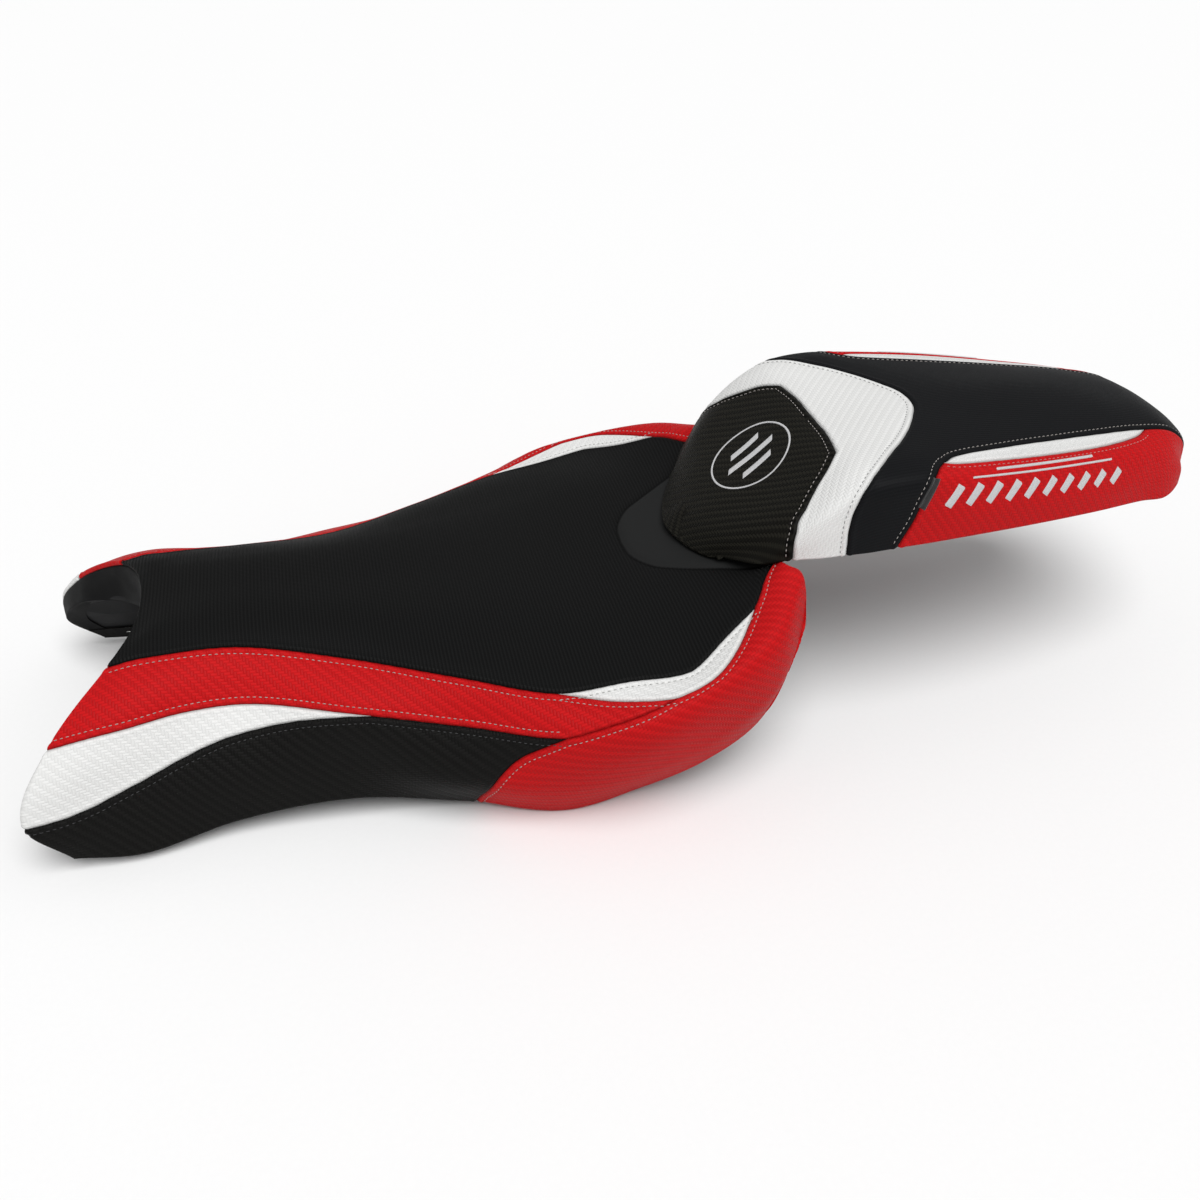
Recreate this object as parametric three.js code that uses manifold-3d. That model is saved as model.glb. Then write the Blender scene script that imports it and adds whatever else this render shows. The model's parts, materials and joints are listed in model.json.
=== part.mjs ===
// Two-piece motorcycle seat: a rider seat and the pillion seat that sits behind and above it.
// Millimetres. +X runs towards the rear of the motorcycle, +Y to the rider's right, +Z up.
// Shapes are laid out from a datum on the centre plane, level with the upper seam at the rider
// seat's widest point. The finished group is then moved so that the origin is the middle of the
// rear bracket's underside, where the seat meets the frame.
import * as THREE from 'three';
import { mergeVertices } from 'three/addons/utils/BufferGeometryUtils.js';
import Module from 'manifold-3d';

const wasm = await Module();
wasm.setup();

// ---------------------------------------------------------------- driving dimensions
const COVER = 2.0; // cover material with its scrim, thickness
const GAP = 0.3; // clearance between neighbouring pieces
const SEAM = 0.4; // how far each panel stops short of its seam
const BACKING = 5.0; // thin bonded foam behind the cover material, left out of the solids
const FOAM_CLEARANCE = 1.1; // between the foam core and the moulded base
const FOAM_EDGE = 1.0; // thickness to which the foam thins at its bottom edges
const LINING_CLEARANCE = 2.0; // between the front lining and the layers it closes
const PAN = 3.0; // moulded base, wall thickness
const PLATE = 3.0; // pressed steel thickness
const BAR = 6.0; // striker bar diameter
const RIB = 9.0; // depth of the ribs under the rider seat's base
const SCREW_HEAD = { radius: 5.5, height: 3.2, slotWidth: 1.2, slotDepth: 1.2 };

// The rear bracket, and where the base's pad above it ends.
const BRACKET = {
  front: 116,
  rear: 180,
  halfWidth: 44,
  corner: 8,
  holeRadius: 4.5,
  holeX: 169,
  holeY: 28,
  screwX: 130,
  padRear: 148,
};
// Undersides of the flat pads that the fittings stand under, and how tall the pads start out
// before the moulding above trims them.
const PAD_LEVEL = { tongue: -24, riderFront: -24, riderRear: -34, bracket: -20, pillion: 42 };
const PAD_STOCK = 30;
const PAD_MARGIN = 2; // how far a pad reaches past its fitting
const ORIGIN = [150, 0, PAD_LEVEL.bracket - GAP - PLATE];

const RIDER_BUFFERS = { front: [-165, 32], rear: [38, 58], radius: 10, height: 13 };
const PILLION_BUFFERS = { front: [232, 58], rear: [392, 42], radius: 9, height: 10 };
const TONGUE = { front: -236, rear: -188, halfWidth: 17, drop: 13, toe: 16, screwX: -198, screwY: 9 };
const STRIKER = { x: 204, halfGap: 11, drop: 22, bend: 6, plateHalf: [15, 28], corner: 5, screwY: 21.5 };
const HOOK = { x: 424, y: 30, halfWidth: 11, drop: 15, reach: 20, flange: 24, screwX: 422 };

// ---------------------------------------------------------------- outer shapes
// Each row is one cross section from front to rear: points [x, distance from the centre plane, z]
// from the centre line down to the bottom edge. Rider seat lines, in order: centre, crown,
// upper seam, lower seam, side bulge, bottom edge.
const RIDER_ROWS = [
  [[-238, 0, 18], [-242, 32, 17.6], [-255, 57, 12], [-291, 90.6, -16], [-309, 112.7, -53], [-290, 114, -81]],
  [[-215, 0, 20], [-217, 34, 20], [-222, 56.5, 15], [-248, 88, -4.5], [-262, 105.5, -49], [-252, 115, -84.5]],
  [[-180, 0, 21], [-180, 34, 20], [-180, 57, 13], [-185, 80.5, -11], [-190, 102, -47], [-195, 107.5, -78]],
  [[-120, 0, 15], [-120, 43, 14], [-120, 71.5, 4.5], [-122, 102, -14], [-123, 109.5, -47], [-125, 111, -73]],
  [[-55, 0, 10], [-55, 62, 9], [-55, 102.5, 1], [-55, 123, -21.5], [-55, 137, -52], [-55, 122, -83]],
  [[0, 0, 8], [0, 78, 7], [0, 130, 0], [0, 153, -17], [0, 151.5, -54.5], [2, 136, -89.5]],
  [[45, 0, 9], [45, 85, 10], [42, 138, 4], [45, 166, -3.5], [46, 157, -48], [48, 136.5, -81.5]],
  [[85, 0, 14], [84, 84, 15], [82, 138, 10], [88, 159, 10], [90, 154.5, -32], [88, 144, -60]],
  [[120, 0, 18], [121, 70, 23], [124, 114.5, 27], [132, 136.5, 24.5], [134, 141, -8.5], [127, 132.5, -45]],
  [[156, 0, 22], [156, 56, 28], [151, 93, 41], [159, 101, 37], [160, 110, 11.5], [152, 120, -4.5]],
];
// How far, per line, the inside of the base lies from the outer face (inwards, and down).
const RIDER_INWARD = [[0, -34], [0, -33], [-7, -28], [-14, -12], [-15, -3], [-9, 1]];

// Pillion seat lines, in order: centre, crown, start and end of the rolled shoulder, side,
// bottom edge.
const PILLION_ROWS = [
  [[104, 0, 21.5], [108.5, 24, 22], [114.5, 40, 23], [119, 48, 24], [122, 52, 25.5], [124, 54, 26.5]],
  [[126, 0, 44], [127, 32, 43.5], [131, 56, 42], [136, 67, 40], [138, 73, 38], [139, 78, 36]],
  [[160, 0, 66], [161, 40, 66.5], [163, 77, 67.5], [163, 88, 64], [159, 91, 55], [157, 91, 44]],
  [[195, 0, 89.5], [196, 42, 90.5], [197, 80, 91], [198, 92, 87], [197, 94.5, 69], [196, 95, 44.5]],
  [[228, 0, 95], [229, 42, 96], [230, 80, 95.5], [231, 94, 90.5], [230, 96, 70], [228, 96.5, 46]],
  [[262, 0, 96.5], [262, 42, 96], [262, 80, 93], [262, 91.5, 89.5], [262, 96, 69], [262, 96.5, 47.5]],
  [[315, 0, 96], [315, 38, 93], [315, 76, 88], [315, 86, 85], [315, 92.5, 65], [315, 93.5, 47.5]],
  [[370, 0, 92], [370, 34, 88.8], [370, 66, 82], [370, 76, 78.5], [370, 84, 60], [370, 86, 45.5]],
  [[415, 0, 84.5], [415, 28, 83], [415, 54, 77.5], [414, 66, 71.5], [413, 73, 56], [412, 75, 41]],
  [[450, 0, 74.5], [450, 24, 73.5], [446, 45, 71.5], [441, 57, 65], [438, 65, 53], [436, 69, 37.5]],
  [[470, 0, 60], [468, 22, 60], [463, 40, 59], [454, 49.5, 55.5], [452, 57, 48], [450, 60, 40]],
  [[474, 0, 43], [472, 20, 42.5], [467, 36, 42], [461, 46, 41], [456, 52, 40.5], [452, 57, 40]],
];
// The pillion's base is a shallow dish: its underside stands in from the bottom edge by DISH.rim,
// rises by DISH.rise in the middle, and is pulled back from the nose and the tail per row.
const DISH = { rim: 8, lift: 1.2, rise: 4, spread: [0, 0.42, 0.74, 0.88, 0.95, 1] };
const DISH_PULL = [10, 7, 2, 0, 0, 0, 0, 0, 0, -3, -8, -11];

// ---------------------------------------------------------------- seams
// Seams are drawn on the outer shape as [row, line] positions, counted as above and allowed to
// fall between rows and lines. They are given for one side and mirrored.
const RIDER_SEAMS = {
  upper: [[0, 2], [5, 2]], // top cover to red strip
  insertTop: [[5, 2], [5.93, 1.92], [6.91, 2.01]], // top cover to white insert, up to its corner
  insertRise: [[6.91, 2.01], [7.45, 1.91], [8.04, 1.98]], // and from there to the horn
  hornTop: [[8.04, 1.98], [8.3, 1.87], [8.62, 1.67], [9, 1.5]], // top cover to rear red panel
  // white insert to red strip
  insertBelow: [[5, 2], [5.28, 2.08], [5.62, 2.22], [6.08, 2.4], [6.5, 2.6]],
  hornRise: [[6.5, 2.6], [7.05, 2.62], [7.5, 2.37], [8.04, 1.98]], // white insert to rear red panel
  lower: [[0, 3], [1.03, 3.14], [1.53, 3.07], [2, 3.02], [3.2, 3]], // red strip to white front
  lowerRear: [[3.2, 3], [5, 2.97]], // red strip to black side
  rearRise: [[5, 2.97], [5.5, 2.8], [6.05, 2.7], [6.5, 2.6]], // red strip to rear red panel
  // white front to black side
  waistToFront: [
    [0, 4], [0.43, 4.05], [0.85, 4], [1.25, 3.85], [1.55, 3.67], [1.85, 3.5], [2.2, 3.37], [2.6, 3.22],
    [3.2, 3],
  ],
  // black side to rear red
  rearFall: [[5, 2.97], [4.78, 3.15], [4.5, 3.43], [4.28, 3.85], [4.12, 4.5], [4.05, 5]],
  bottomFront: [[0, 5], [4.05, 5]],
  bottomRear: [[4.05, 5], [9, 5]],
};
const PILLION_SEAMS = {
  nose: [[0, -5], [0, 5]],
  frontSide: [
    [2, 5], [1.95, 3.93], [1.95, 2.53], [2.15, 2.05], [2.33, 1.8], [2.73, 1.45], [3, 1.17],
  ],
  frontRear: [[3, 1.17], [3.12, 0.6], [3.15, 0]],
  chevronSide: [[2.87, 5], [2.85, 4.08], [2.93, 3.03], [3.2, 2.3], [3.5, 1.85]],
  chevronRear: [
    [3.5, 1.85], [3.9, 1.52], [4.35, 1.2], [4.76, 0.83], [5.03, 0.48], [5.13, 0.22], [5.15, 0],
  ],
  flapBottom: [[2.87, 5], [3.9, 5]],
  flapRear: [[3.9, 5], [4.1, 4.3], [4.25, 3.53], [4.45, 2.95], [4.62, 2.42], [4.8, 2.05]],
  stripeTop: [
    [4.8, 2.05], [5.1, 1.83], [5.93, 1.68], [6.48, 1.65], [7.05, 1.65], [7.73, 1.72], [8.2, 1.78],
  ],
  stripeLow: [
    [4.8, 2.05], [5.05, 2.17], [5.8, 2.16], [6.9, 2.15], [7.6, 2.09], [7.95, 1.97], [8.2, 1.78],
  ],
  tail: [[8.2, 1.78], [8.72, 1.82], [9.15, 1.97], [10, 2.15], [11, 2.4]],
  tailBottom: [[11, -2.4], [11, 2.4]],
  bottomRear: [[3.9, 5], [11, 5]],
};

// ---------------------------------------------------------------- surfaces
const curveThrough = (points) => new THREE.CatmullRomCurve3(points);
const within = (value, limit) => THREE.MathUtils.clamp(value, -limit, limit);

class Surface {
  constructor(rows) {
    const lines = rows[0].map((_, j) => rows.map((row) => new THREE.Vector3(...row[j])));
    this.lastRow = rows.length - 1;
    this.lastLine = lines.length - 1;
    this.curves = lines.map(curveThrough);
    this.sections = new Map();
  }

  // The full cross section at a row position, from the left bottom edge to the right one.
  section(row) {
    if (!this.sections.has(row)) {
      const along = THREE.MathUtils.clamp(row / this.lastRow, 0, 1);
      const half = this.curves.map((curve) => curve.getPoint(along));
      const mirrored = half.slice(1).reverse().map((p) => new THREE.Vector3(p.x, -p.y, p.z));
      this.sections.set(row, curveThrough([...mirrored, ...half]));
    }
    return this.sections.get(row);
  }

  // A point on the surface; a negative line position is on the left side.
  at(row, line) {
    const across = within(line, this.lastLine) / this.lastLine;
    return this.section(row).getPoint((across + 1) / 2);
  }
}

// An outer surface, the surface of its underside, and the layers between them.
class Body {
  constructor(rows, innerRows) {
    this.outer = new Surface(rows);
    this.inner = new Surface(innerRows);
    this.lastRow = this.outer.lastRow;
    this.lastLine = this.outer.lastLine;
  }

  thickness(row, line) {
    return this.inner.at(row, line).distanceTo(this.outer.at(row, line));
  }

  // The point a given depth below the outer face. Negative depths count up from the underside.
  at(row, line, depth) {
    const top = this.outer.at(row, line);
    const step = this.inner.at(row, line).sub(top);
    const thickness = step.length();
    return top.addScaledVector(step.normalize(), depth < 0 ? thickness + depth : depth);
  }
}

const riderInner = RIDER_ROWS.map((row) =>
  row.map(([x, y, z], j) => [x, y + RIDER_INWARD[j][0], z + RIDER_INWARD[j][1]]),
);
const pillionInner = PILLION_ROWS.map((row, i) => {
  const [, edge, low] = row[DISH.spread.length - 1];
  return row.map(([x], j) => {
    const across = DISH.spread[j];
    return [x + DISH_PULL[i], across * (edge - DISH.rim), low + DISH.lift + DISH.rise * (1 - across ** 2)];
  });
});
const riderBody = new Body(RIDER_ROWS, riderInner);
const pillionBody = new Body(PILLION_ROWS, pillionInner);

// ---------------------------------------------------------------- meshes from layers
// A closed solid between two grids of points with the same numbers of columns and rows.
function solidBetween(top, bottom) {
  const [columns, rows] = [top.length - 1, top[0].length - 1];
  const points = [...top.flat(), ...bottom.flat()];
  const below = (columns + 1) * (rows + 1);
  const index = (i, j) => i * (rows + 1) + j;
  const triangles = [];
  const quad = (a, b, c, d) => triangles.push(a, b, c, a, c, d);
  for (let i = 0; i < columns; i++) {
    for (let j = 0; j < rows; j++) {
      const [a, b, c, d] = [index(i, j), index(i + 1, j), index(i + 1, j + 1), index(i, j + 1)];
      quad(a, b, c, d);
      quad(below + a, below + d, below + c, below + b);
    }
  }
  const wall = (a, b) => quad(b, a, below + a, below + b);
  for (let i = 0; i < columns; i++) {
    wall(index(i, 0), index(i + 1, 0));
    wall(index(i + 1, rows), index(i, rows));
  }
  for (let j = 0; j < rows; j++) {
    wall(index(columns, j), index(columns, j + 1));
    wall(index(0, j + 1), index(0, j));
  }
  const geometry = new THREE.BufferGeometry();
  const coordinates = points.flatMap((p) => p.toArray());
  geometry.setAttribute('position', new THREE.Float32BufferAttribute(coordinates, 3));
  geometry.setIndex(triangles);
  return facingOut(geometry);
}

// A grid of points from a function of two numbers in 0..1.
function gridOf(pointAt, columns, rows) {
  const column = (i) => Array.from({ length: rows + 1 }, (_, j) => pointAt(i / columns, j / rows));
  return Array.from({ length: columns + 1 }, (_, i) => column(i));
}

function facingOut(geometry) {
  const p = geometry.getAttribute('position');
  const corner = (k) => new THREE.Vector3().fromBufferAttribute(p, geometry.index.getX(k));
  let volume = 0;
  for (let k = 0; k < geometry.index.count; k += 3) {
    volume += corner(k).dot(corner(k + 1).cross(corner(k + 2)));
  }
  if (volume < 0) geometry.index.array.reverse();
  return geometry;
}

// Points along a seam, in [row, line] space. Panels on both sides of a seam use the same points,
// so that their edges follow each other.
function along(seam, segments) {
  const curve = curveThrough(seam.map(([row, line]) => new THREE.Vector3(row, line, 0)));
  return Array.from({ length: segments + 1 }, (_, i) => curve.getPoint(i / segments));
}
const joined = (...runs) => runs.flatMap((run, k) => (k ? run.slice(1) : run));
const reversed = (run) => [...run].reverse();
const mirrored = (run) => run.map((p) => new THREE.Vector3(p.x, -p.y, 0));
const acrossCentre = (run) => joined(mirrored(run), reversed(run));
const lerp = (a, b, t) => a.clone().lerp(b, t);

// Two edges that meet in a point are cut off just before it, where the panel is still TIP wide.
const TIP = 0.8;
function blunt(edge, { first = false, last = false }) {
  const cut = [...edge];
  const end = edge.length - 1;
  if (first) cut[0] = lerp(edge[1], edge[0], TIP);
  if (last) cut[end] = lerp(edge[end - 1], edge[end], TIP);
  return cut;
}

// The inside of a four-sided panel, from its two long edges and the two ends that join them.
function panelGrid(near, far, start, end) {
  const [columns, rows] = [near.length - 1, start.length - 1];
  return near.map((_, i) =>
    start.map((_, j) => {
      const [s, t] = [i / columns, j / rows];
      const between = lerp(near[i], far[i], t).add(lerp(start[j], end[j], s));
      const corners = lerp(lerp(near[0], far[0], t), lerp(near[columns], far[columns], t), s);
      return between.sub(corners);
    }),
  );
}
function straight(from, to, segments) {
  return Array.from({ length: segments + 1 }, (_, i) => lerp(from, to, i / segments));
}

// One cover panel of a body, mirrored with side -1, held back from its seams by SEAM. The ends
// are straight, with the given number of rows, unless they are given.
function coverPanel(body, { near, far, rows, start, end }, side = 1) {
  const last = near.length - 1;
  const first = start ?? straight(near[0], far[0], rows ?? end.length - 1);
  const final = end ?? straight(near[last], far[last], first.length - 1);
  const places = panelGrid(near, far, first, final);
  const lastRow = first.length - 1;
  const face = (depth) => {
    const on = places.map((column) => column.map(({ x, y }) => body.at(x, side * y, depth)));
    const inwards = (i, j, di, dj) => {
      const step = on[i + di][j + dj].clone().sub(on[i][j]);
      return step.normalize().multiplyScalar(SEAM);
    };
    return on.map((column, i) =>
      column.map((p, j) => {
        const moved = p.clone();
        if (i === 0) moved.add(inwards(i, j, 1, 0));
        if (i === last) moved.add(inwards(i, j, -1, 0));
        if (j === 0) moved.add(inwards(i, j, 0, 1));
        if (j === lastRow) moved.add(inwards(i, j, 0, -1));
        return moved;
      }),
    );
  };
  return solidBetween(face(0), face(COVER));
}

// A layer of a body over all of its width and length, between two depths, which are functions of
// the row and line. All of a body's layers share one grid, so that they lie flat on each other.
function layer(body, from, to) {
  const [columns, rows] = [Math.round(1.5 * body.lastRow), 4 * body.lastLine];
  const at = (depth) => (s, t) => {
    const [row, line] = [s * body.lastRow, (2 * t - 1) * body.lastLine];
    return body.at(row, line, depth(row, line));
  };
  return solidBetween(gridOf(at(from), columns, rows), gridOf(at(to), columns, rows));
}
const constant = (depth) => () => depth;

// ---------------------------------------------------------------- joining and cutting
function toSolid(geometry) {
  const bare = geometry.clone();
  bare.deleteAttribute('normal');
  bare.deleteAttribute('uv');
  const merged = mergeVertices(bare, 1e-4);
  return new wasm.Manifold(
    new wasm.Mesh({
      numProp: 3,
      vertProperties: new Float32Array(merged.getAttribute('position').array),
      triVerts: new Uint32Array(merged.index.array),
    }),
  );
}

function toGeometry(solid) {
  const { numProp, vertProperties, triVerts } = solid.getMesh();
  const geometry = new THREE.BufferGeometry();
  geometry.setAttribute('position', new THREE.BufferAttribute(new Float32Array(vertProperties), numProp));
  geometry.setIndex(new THREE.BufferAttribute(new Uint32Array(triVerts), 1));
  return geometry;
}

function box(x0, x1, y0, y1, z0, z1) {
  const block = new THREE.BoxGeometry(x1 - x0, y1 - y0, z1 - z0);
  return block.translate((x0 + x1) / 2, (y0 + y1) / 2, (z0 + z1) / 2);
}

// A plate with rounded corners and round holes, lying flat.
function plate(x0, x1, halfWidth, corner, bottom, thickness, holes) {
  const shape = new THREE.Shape();
  const corners = [[x0, -halfWidth], [x1, -halfWidth], [x1, halfWidth], [x0, halfWidth]];
  corners.forEach(([x, y], k) => {
    const [cx, cy] = [x + (x === x0 ? corner : -corner), y + (y < 0 ? corner : -corner)];
    shape.absarc(cx, cy, corner, Math.PI * (1 + k / 2), Math.PI * (1.5 + k / 2), false);
  });
  shape.closePath();
  for (const [x, y, r] of holes) {
    const hole = new THREE.Path();
    hole.absarc(x, y, r, 0, 2 * Math.PI, true);
    shape.holes.push(hole);
  }
  const settings = { depth: thickness, bevelEnabled: false, curveSegments: 6 };
  return new THREE.ExtrudeGeometry(shape, settings).translate(0, 0, bottom);
}

// ---------------------------------------------------------------- materials
const BLACK = 0x1a1c1f;
const RED = 0xb8181c;
const WHITE = 0xe9e9ea;
const MOULDED = 0x232426;
const RUBBER = 0x141414;
const FOAM = 0xd8c79a;
const THREAD = 0xb9bbbe;
const ZINC = 0x9a9da1;

function matt(color, roughness = 0.5) {
  return new THREE.MeshStandardMaterial({ color, roughness, metalness: 0 });
}
function steel() {
  return new THREE.MeshStandardMaterial({ color: ZINC, roughness: 0.4, metalness: 0.9 });
}

const group = new THREE.Group();
function add(name, geometry, material) {
  const mesh = new THREE.Mesh(geometry, material);
  mesh.name = name;
  mesh.position.set(-ORIGIN[0], -ORIGIN[1], -ORIGIN[2]);
  group.add(mesh);
}
const SIDES = { L: -1, R: 1 };

// ---------------------------------------------------------------- covers
function riderCovers() {
  const seam = RIDER_SEAMS;
  const upper = along(seam.upper, 10);
  const insertTop = joined(along(seam.insertTop, 5), along(seam.insertRise, 3));
  const hornTop = along(seam.hornTop, 2);
  const insertBelow = along(seam.insertBelow, 4);
  const hornRise = along(seam.hornRise, 4);
  const lower = along(seam.lower, 6);
  const lowerRear = along(seam.lowerRear, 4);
  const rearRise = along(seam.rearRise, 4);
  const waistToFront = along(seam.waistToFront, 6);
  const rearFall = along(seam.rearFall, 4);
  const topEdge = joined(upper, insertTop, hornTop);
  const top = { near: mirrored(topEdge), far: topEdge, rows: 10 };
  add('rider_top_cover', coverPanel(riderBody, top), matt(BLACK, 0.6));
  const panels = {
    red_strip: {
      color: RED,
      near: blunt(joined(upper, insertBelow), { last: true }),
      far: blunt(joined(lower, lowerRear, rearRise), { last: true }),
      rows: 2,
    },
    white_insert: {
      color: WHITE,
      near: blunt(insertTop, { first: true, last: true }),
      far: blunt(joined(insertBelow, hornRise), { first: true, last: true }),
      rows: 1,
    },
    white_front: {
      color: WHITE,
      near: blunt(lower, { last: true }),
      far: blunt(waistToFront, { last: true }),
      rows: 2,
    },
    black_side: {
      color: BLACK,
      near: joined(waistToFront, lowerRear),
      far: along(seam.bottomFront, 10),
      end: rearFall,
    },
    red_rear: {
      color: RED,
      near: joined(rearRise, hornRise, hornTop),
      far: along(seam.bottomRear, 10),
      start: rearFall,
    },
  };
  for (const [label, side] of Object.entries(SIDES)) {
    for (const [name, { color, ...edges }] of Object.entries(panels)) {
      add(`rider_${name}_${label}`, coverPanel(riderBody, edges, side), matt(color));
    }
  }
}

// The smooth lining that closes the front of the rider seat, from the top cover round to the base.
function riderFrontLining() {
  const { lastLine } = riderBody;
  const face = (forward) => (s, t) => {
    const line = (2 * s - 1) * lastLine;
    const top = riderBody.at(0, line, 0);
    const behind = riderBody.at(0.1, line, 0).sub(top).normalize();
    return lerp(top, riderBody.at(0, line, -0.01), t).addScaledVector(behind, -forward);
  };
  const columns = 4 * lastLine;
  const outside = gridOf(face(LINING_CLEARANCE + COVER), columns, 1);
  return solidBetween(outside, gridOf(face(LINING_CLEARANCE), columns, 1));
}

function pillionCovers() {
  const seam = PILLION_SEAMS;
  const frontEdge = acrossCentre(joined(along(seam.frontSide, 6), along(seam.frontRear, 2)));
  const chevronEdge = acrossCentre(joined(along(seam.chevronSide, 5), along(seam.chevronRear, 3)));
  const flapRear = along(seam.flapRear, 4);
  const stripeTop = along(seam.stripeTop, 6);
  const stripeLow = along(seam.stripeLow, 6);
  const tail = along(seam.tail, 4);
  const topEdge = joined(along(seam.flapBottom, 2), flapRear, stripeTop, tail);
  const front = { near: frontEdge, far: along(seam.nose, frontEdge.length - 1), rows: 5 };
  add('pillion_front_panel', coverPanel(pillionBody, front), matt(BLACK, 0.35));
  const chevron = { near: frontEdge, far: chevronEdge, rows: 2 };
  add('pillion_chevron', coverPanel(pillionBody, chevron), matt(WHITE));
  const top = {
    near: mirrored(topEdge),
    far: topEdge,
    start: chevronEdge,
    end: along(seam.tailBottom, chevronEdge.length - 1),
  };
  add('pillion_top_panel', coverPanel(pillionBody, top), matt(BLACK, 0.55));
  const stripe = {
    near: blunt(stripeTop, { first: true, last: true }),
    far: blunt(stripeLow, { first: true, last: true }),
    rows: 1,
  };
  const side = {
    near: joined(stripeLow, tail),
    far: along(seam.bottomRear, 10),
    start: reversed(flapRear),
  };
  for (const [label, sign] of Object.entries(SIDES)) {
    add(`pillion_white_stripe_${label}`, coverPanel(pillionBody, stripe, sign), matt(WHITE, 0.4));
    add(`pillion_red_side_${label}`, coverPanel(pillionBody, side, sign), matt(RED));
  }
}

// ---------------------------------------------------------------- foam and moulded bases
// Everything from a body's outer face down to the middle of its moulding. It trims the pads, so
// that they end inside the moulding's wall.
const aboveMoulding = (body) => toSolid(layer(body, constant(0), constant(-PAN / 2)));

function base(body, pads, ribs) {
  let solid = toSolid(layer(body, constant(-PAN), constant(-0.01)));
  const upperPart = aboveMoulding(body);
  for (const [x0, x1, y0, y1, bottom] of pads) {
    const block = toSolid(box(x0, x1, y0, y1, bottom, bottom + PAD_STOCK));
    solid = solid.add(block.subtract(upperPart));
  }
  for (const [row, halfLine] of ribs) {
    const at = (drop) => (s, t) => {
      const p = body.at(row, (2 * t - 1) * halfLine, -PAN / 2);
      return p.add(new THREE.Vector3((s - 0.5) * PAN, 0, -drop));
    };
    solid = solid.add(toSolid(solidBetween(gridOf(at(0), 1, 8), gridOf(at(RIB), 1, 8))));
  }
  return toGeometry(solid);
}

function bothSides([x, y], half, bottom) {
  return Object.values(SIDES).map((side) => [x - half, x + half, side * y - half, side * y + half, bottom]);
}

function riderBase() {
  const buffers = RIDER_BUFFERS;
  const half = buffers.radius + PAD_MARGIN;
  const tongueHalf = TONGUE.halfWidth + PAD_MARGIN;
  const tongueFront = TONGUE.front + TONGUE.toe - PAD_MARGIN;
  const bracketFront = BRACKET.front - PAD_MARGIN;
  const pads = [
    [tongueFront, TONGUE.rear + PAD_MARGIN, -tongueHalf, tongueHalf, PAD_LEVEL.tongue],
    [bracketFront, BRACKET.padRear, -BRACKET.halfWidth, BRACKET.halfWidth, PAD_LEVEL.bracket],
    ...bothSides(buffers.front, half, PAD_LEVEL.riderFront),
    ...bothSides(buffers.rear, half, PAD_LEVEL.riderRear),
  ];
  const ribs = [[2.75, 1.9], [4, 2], [5.1, 2], [6.7, 1.9]];
  return base(riderBody, pads, ribs);
}

function pillionBase() {
  const buffers = PILLION_BUFFERS;
  const half = buffers.radius + PAD_MARGIN;
  const [plateX, plateY] = STRIKER.plateHalf.map((size) => size + PAD_MARGIN);
  const pads = [
    [STRIKER.x - plateX, STRIKER.x + plateX, -plateY, plateY, PAD_LEVEL.pillion],
    ...bothSides([HOOK.x, HOOK.y], HOOK.flange / 2 + PAD_MARGIN, PAD_LEVEL.pillion),
    ...bothSides(buffers.front, half, PAD_LEVEL.pillion),
    ...bothSides(buffers.rear, half, PAD_LEVEL.pillion),
  ];
  return base(pillionBody, pads, []);
}

function foam(body) {
  const floor = PAN + FOAM_CLEARANCE;
  const top = (row, line) => Math.min(COVER + BACKING, body.thickness(row, line) - floor - FOAM_EDGE);
  return layer(body, top, constant(-floor));
}

// ---------------------------------------------------------------- hardware
// A rubber buffer under a flat pad: a foot with a slight waist.
function buffer({ radius, height }, [x, y], side, pad) {
  const waist = radius - 1.5;
  const profile = [
    [0, 0],
    [waist, 0],
    [radius, 1.5],
    [waist, 5],
    [radius, height - 2],
    [radius, height],
    [0, height],
  ];
  const foot = new THREE.LatheGeometry(profile.map(([r, z]) => new THREE.Vector2(r, z)), 14);
  return foot.rotateX(Math.PI / 2).translate(x, side * y, pad - GAP - height);
}

// A countersunk screw's head, flush with a plate's underside, and the hole for it when it is
// wider by the clearance.
function countersunk(x, y, bottom, clearance = 0) {
  const profile = [
    [0, 0],
    [SCREW_HEAD.radius + clearance, 0],
    [SCREW_HEAD.radius - PLATE + clearance, PLATE],
    [0, PLATE],
  ];
  const head = new THREE.LatheGeometry(profile.map(([r, z]) => new THREE.Vector2(r, z)), 12);
  return head.rotateX(Math.PI / 2).translate(x, y, bottom);
}

// A pan-head screw driven up through a plate into the base: only its head stands below.
function screw(x, y, pad) {
  const { radius, height, slotWidth, slotDepth } = SCREW_HEAD;
  const bottom = pad - GAP - PLATE - GAP - height;
  const profile = [
    [0, 0],
    [radius - 1.6, 0],
    [radius - 0.4, 0.8],
    [radius, 1.8],
    [radius, height],
    [0, height],
  ];
  const head = new THREE.LatheGeometry(profile.map(([r, z]) => new THREE.Vector2(r, z)), 12);
  head.rotateX(Math.PI / 2).translate(x, y, bottom);
  const [slotX, slotY] = [radius * 0.6, slotWidth / 2];
  const slot = box(x - slotX, x + slotX, y - slotY, y + slotY, bottom - 1, bottom + slotDepth);
  return toGeometry(toSolid(head).subtract(toSolid(slot)));
}

// A bent strip: a side profile of [x, z] points, extruded across a width about y.
function bentStrip(profile, y, halfWidth) {
  const shape = new THREE.Shape(profile.map(([x, z]) => new THREE.Vector2(x, z)));
  const geometry = new THREE.ExtrudeGeometry(shape, { depth: 2 * halfWidth, bevelEnabled: false });
  return geometry.rotateX(Math.PI / 2).translate(0, y + halfWidth, 0);
}

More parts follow.
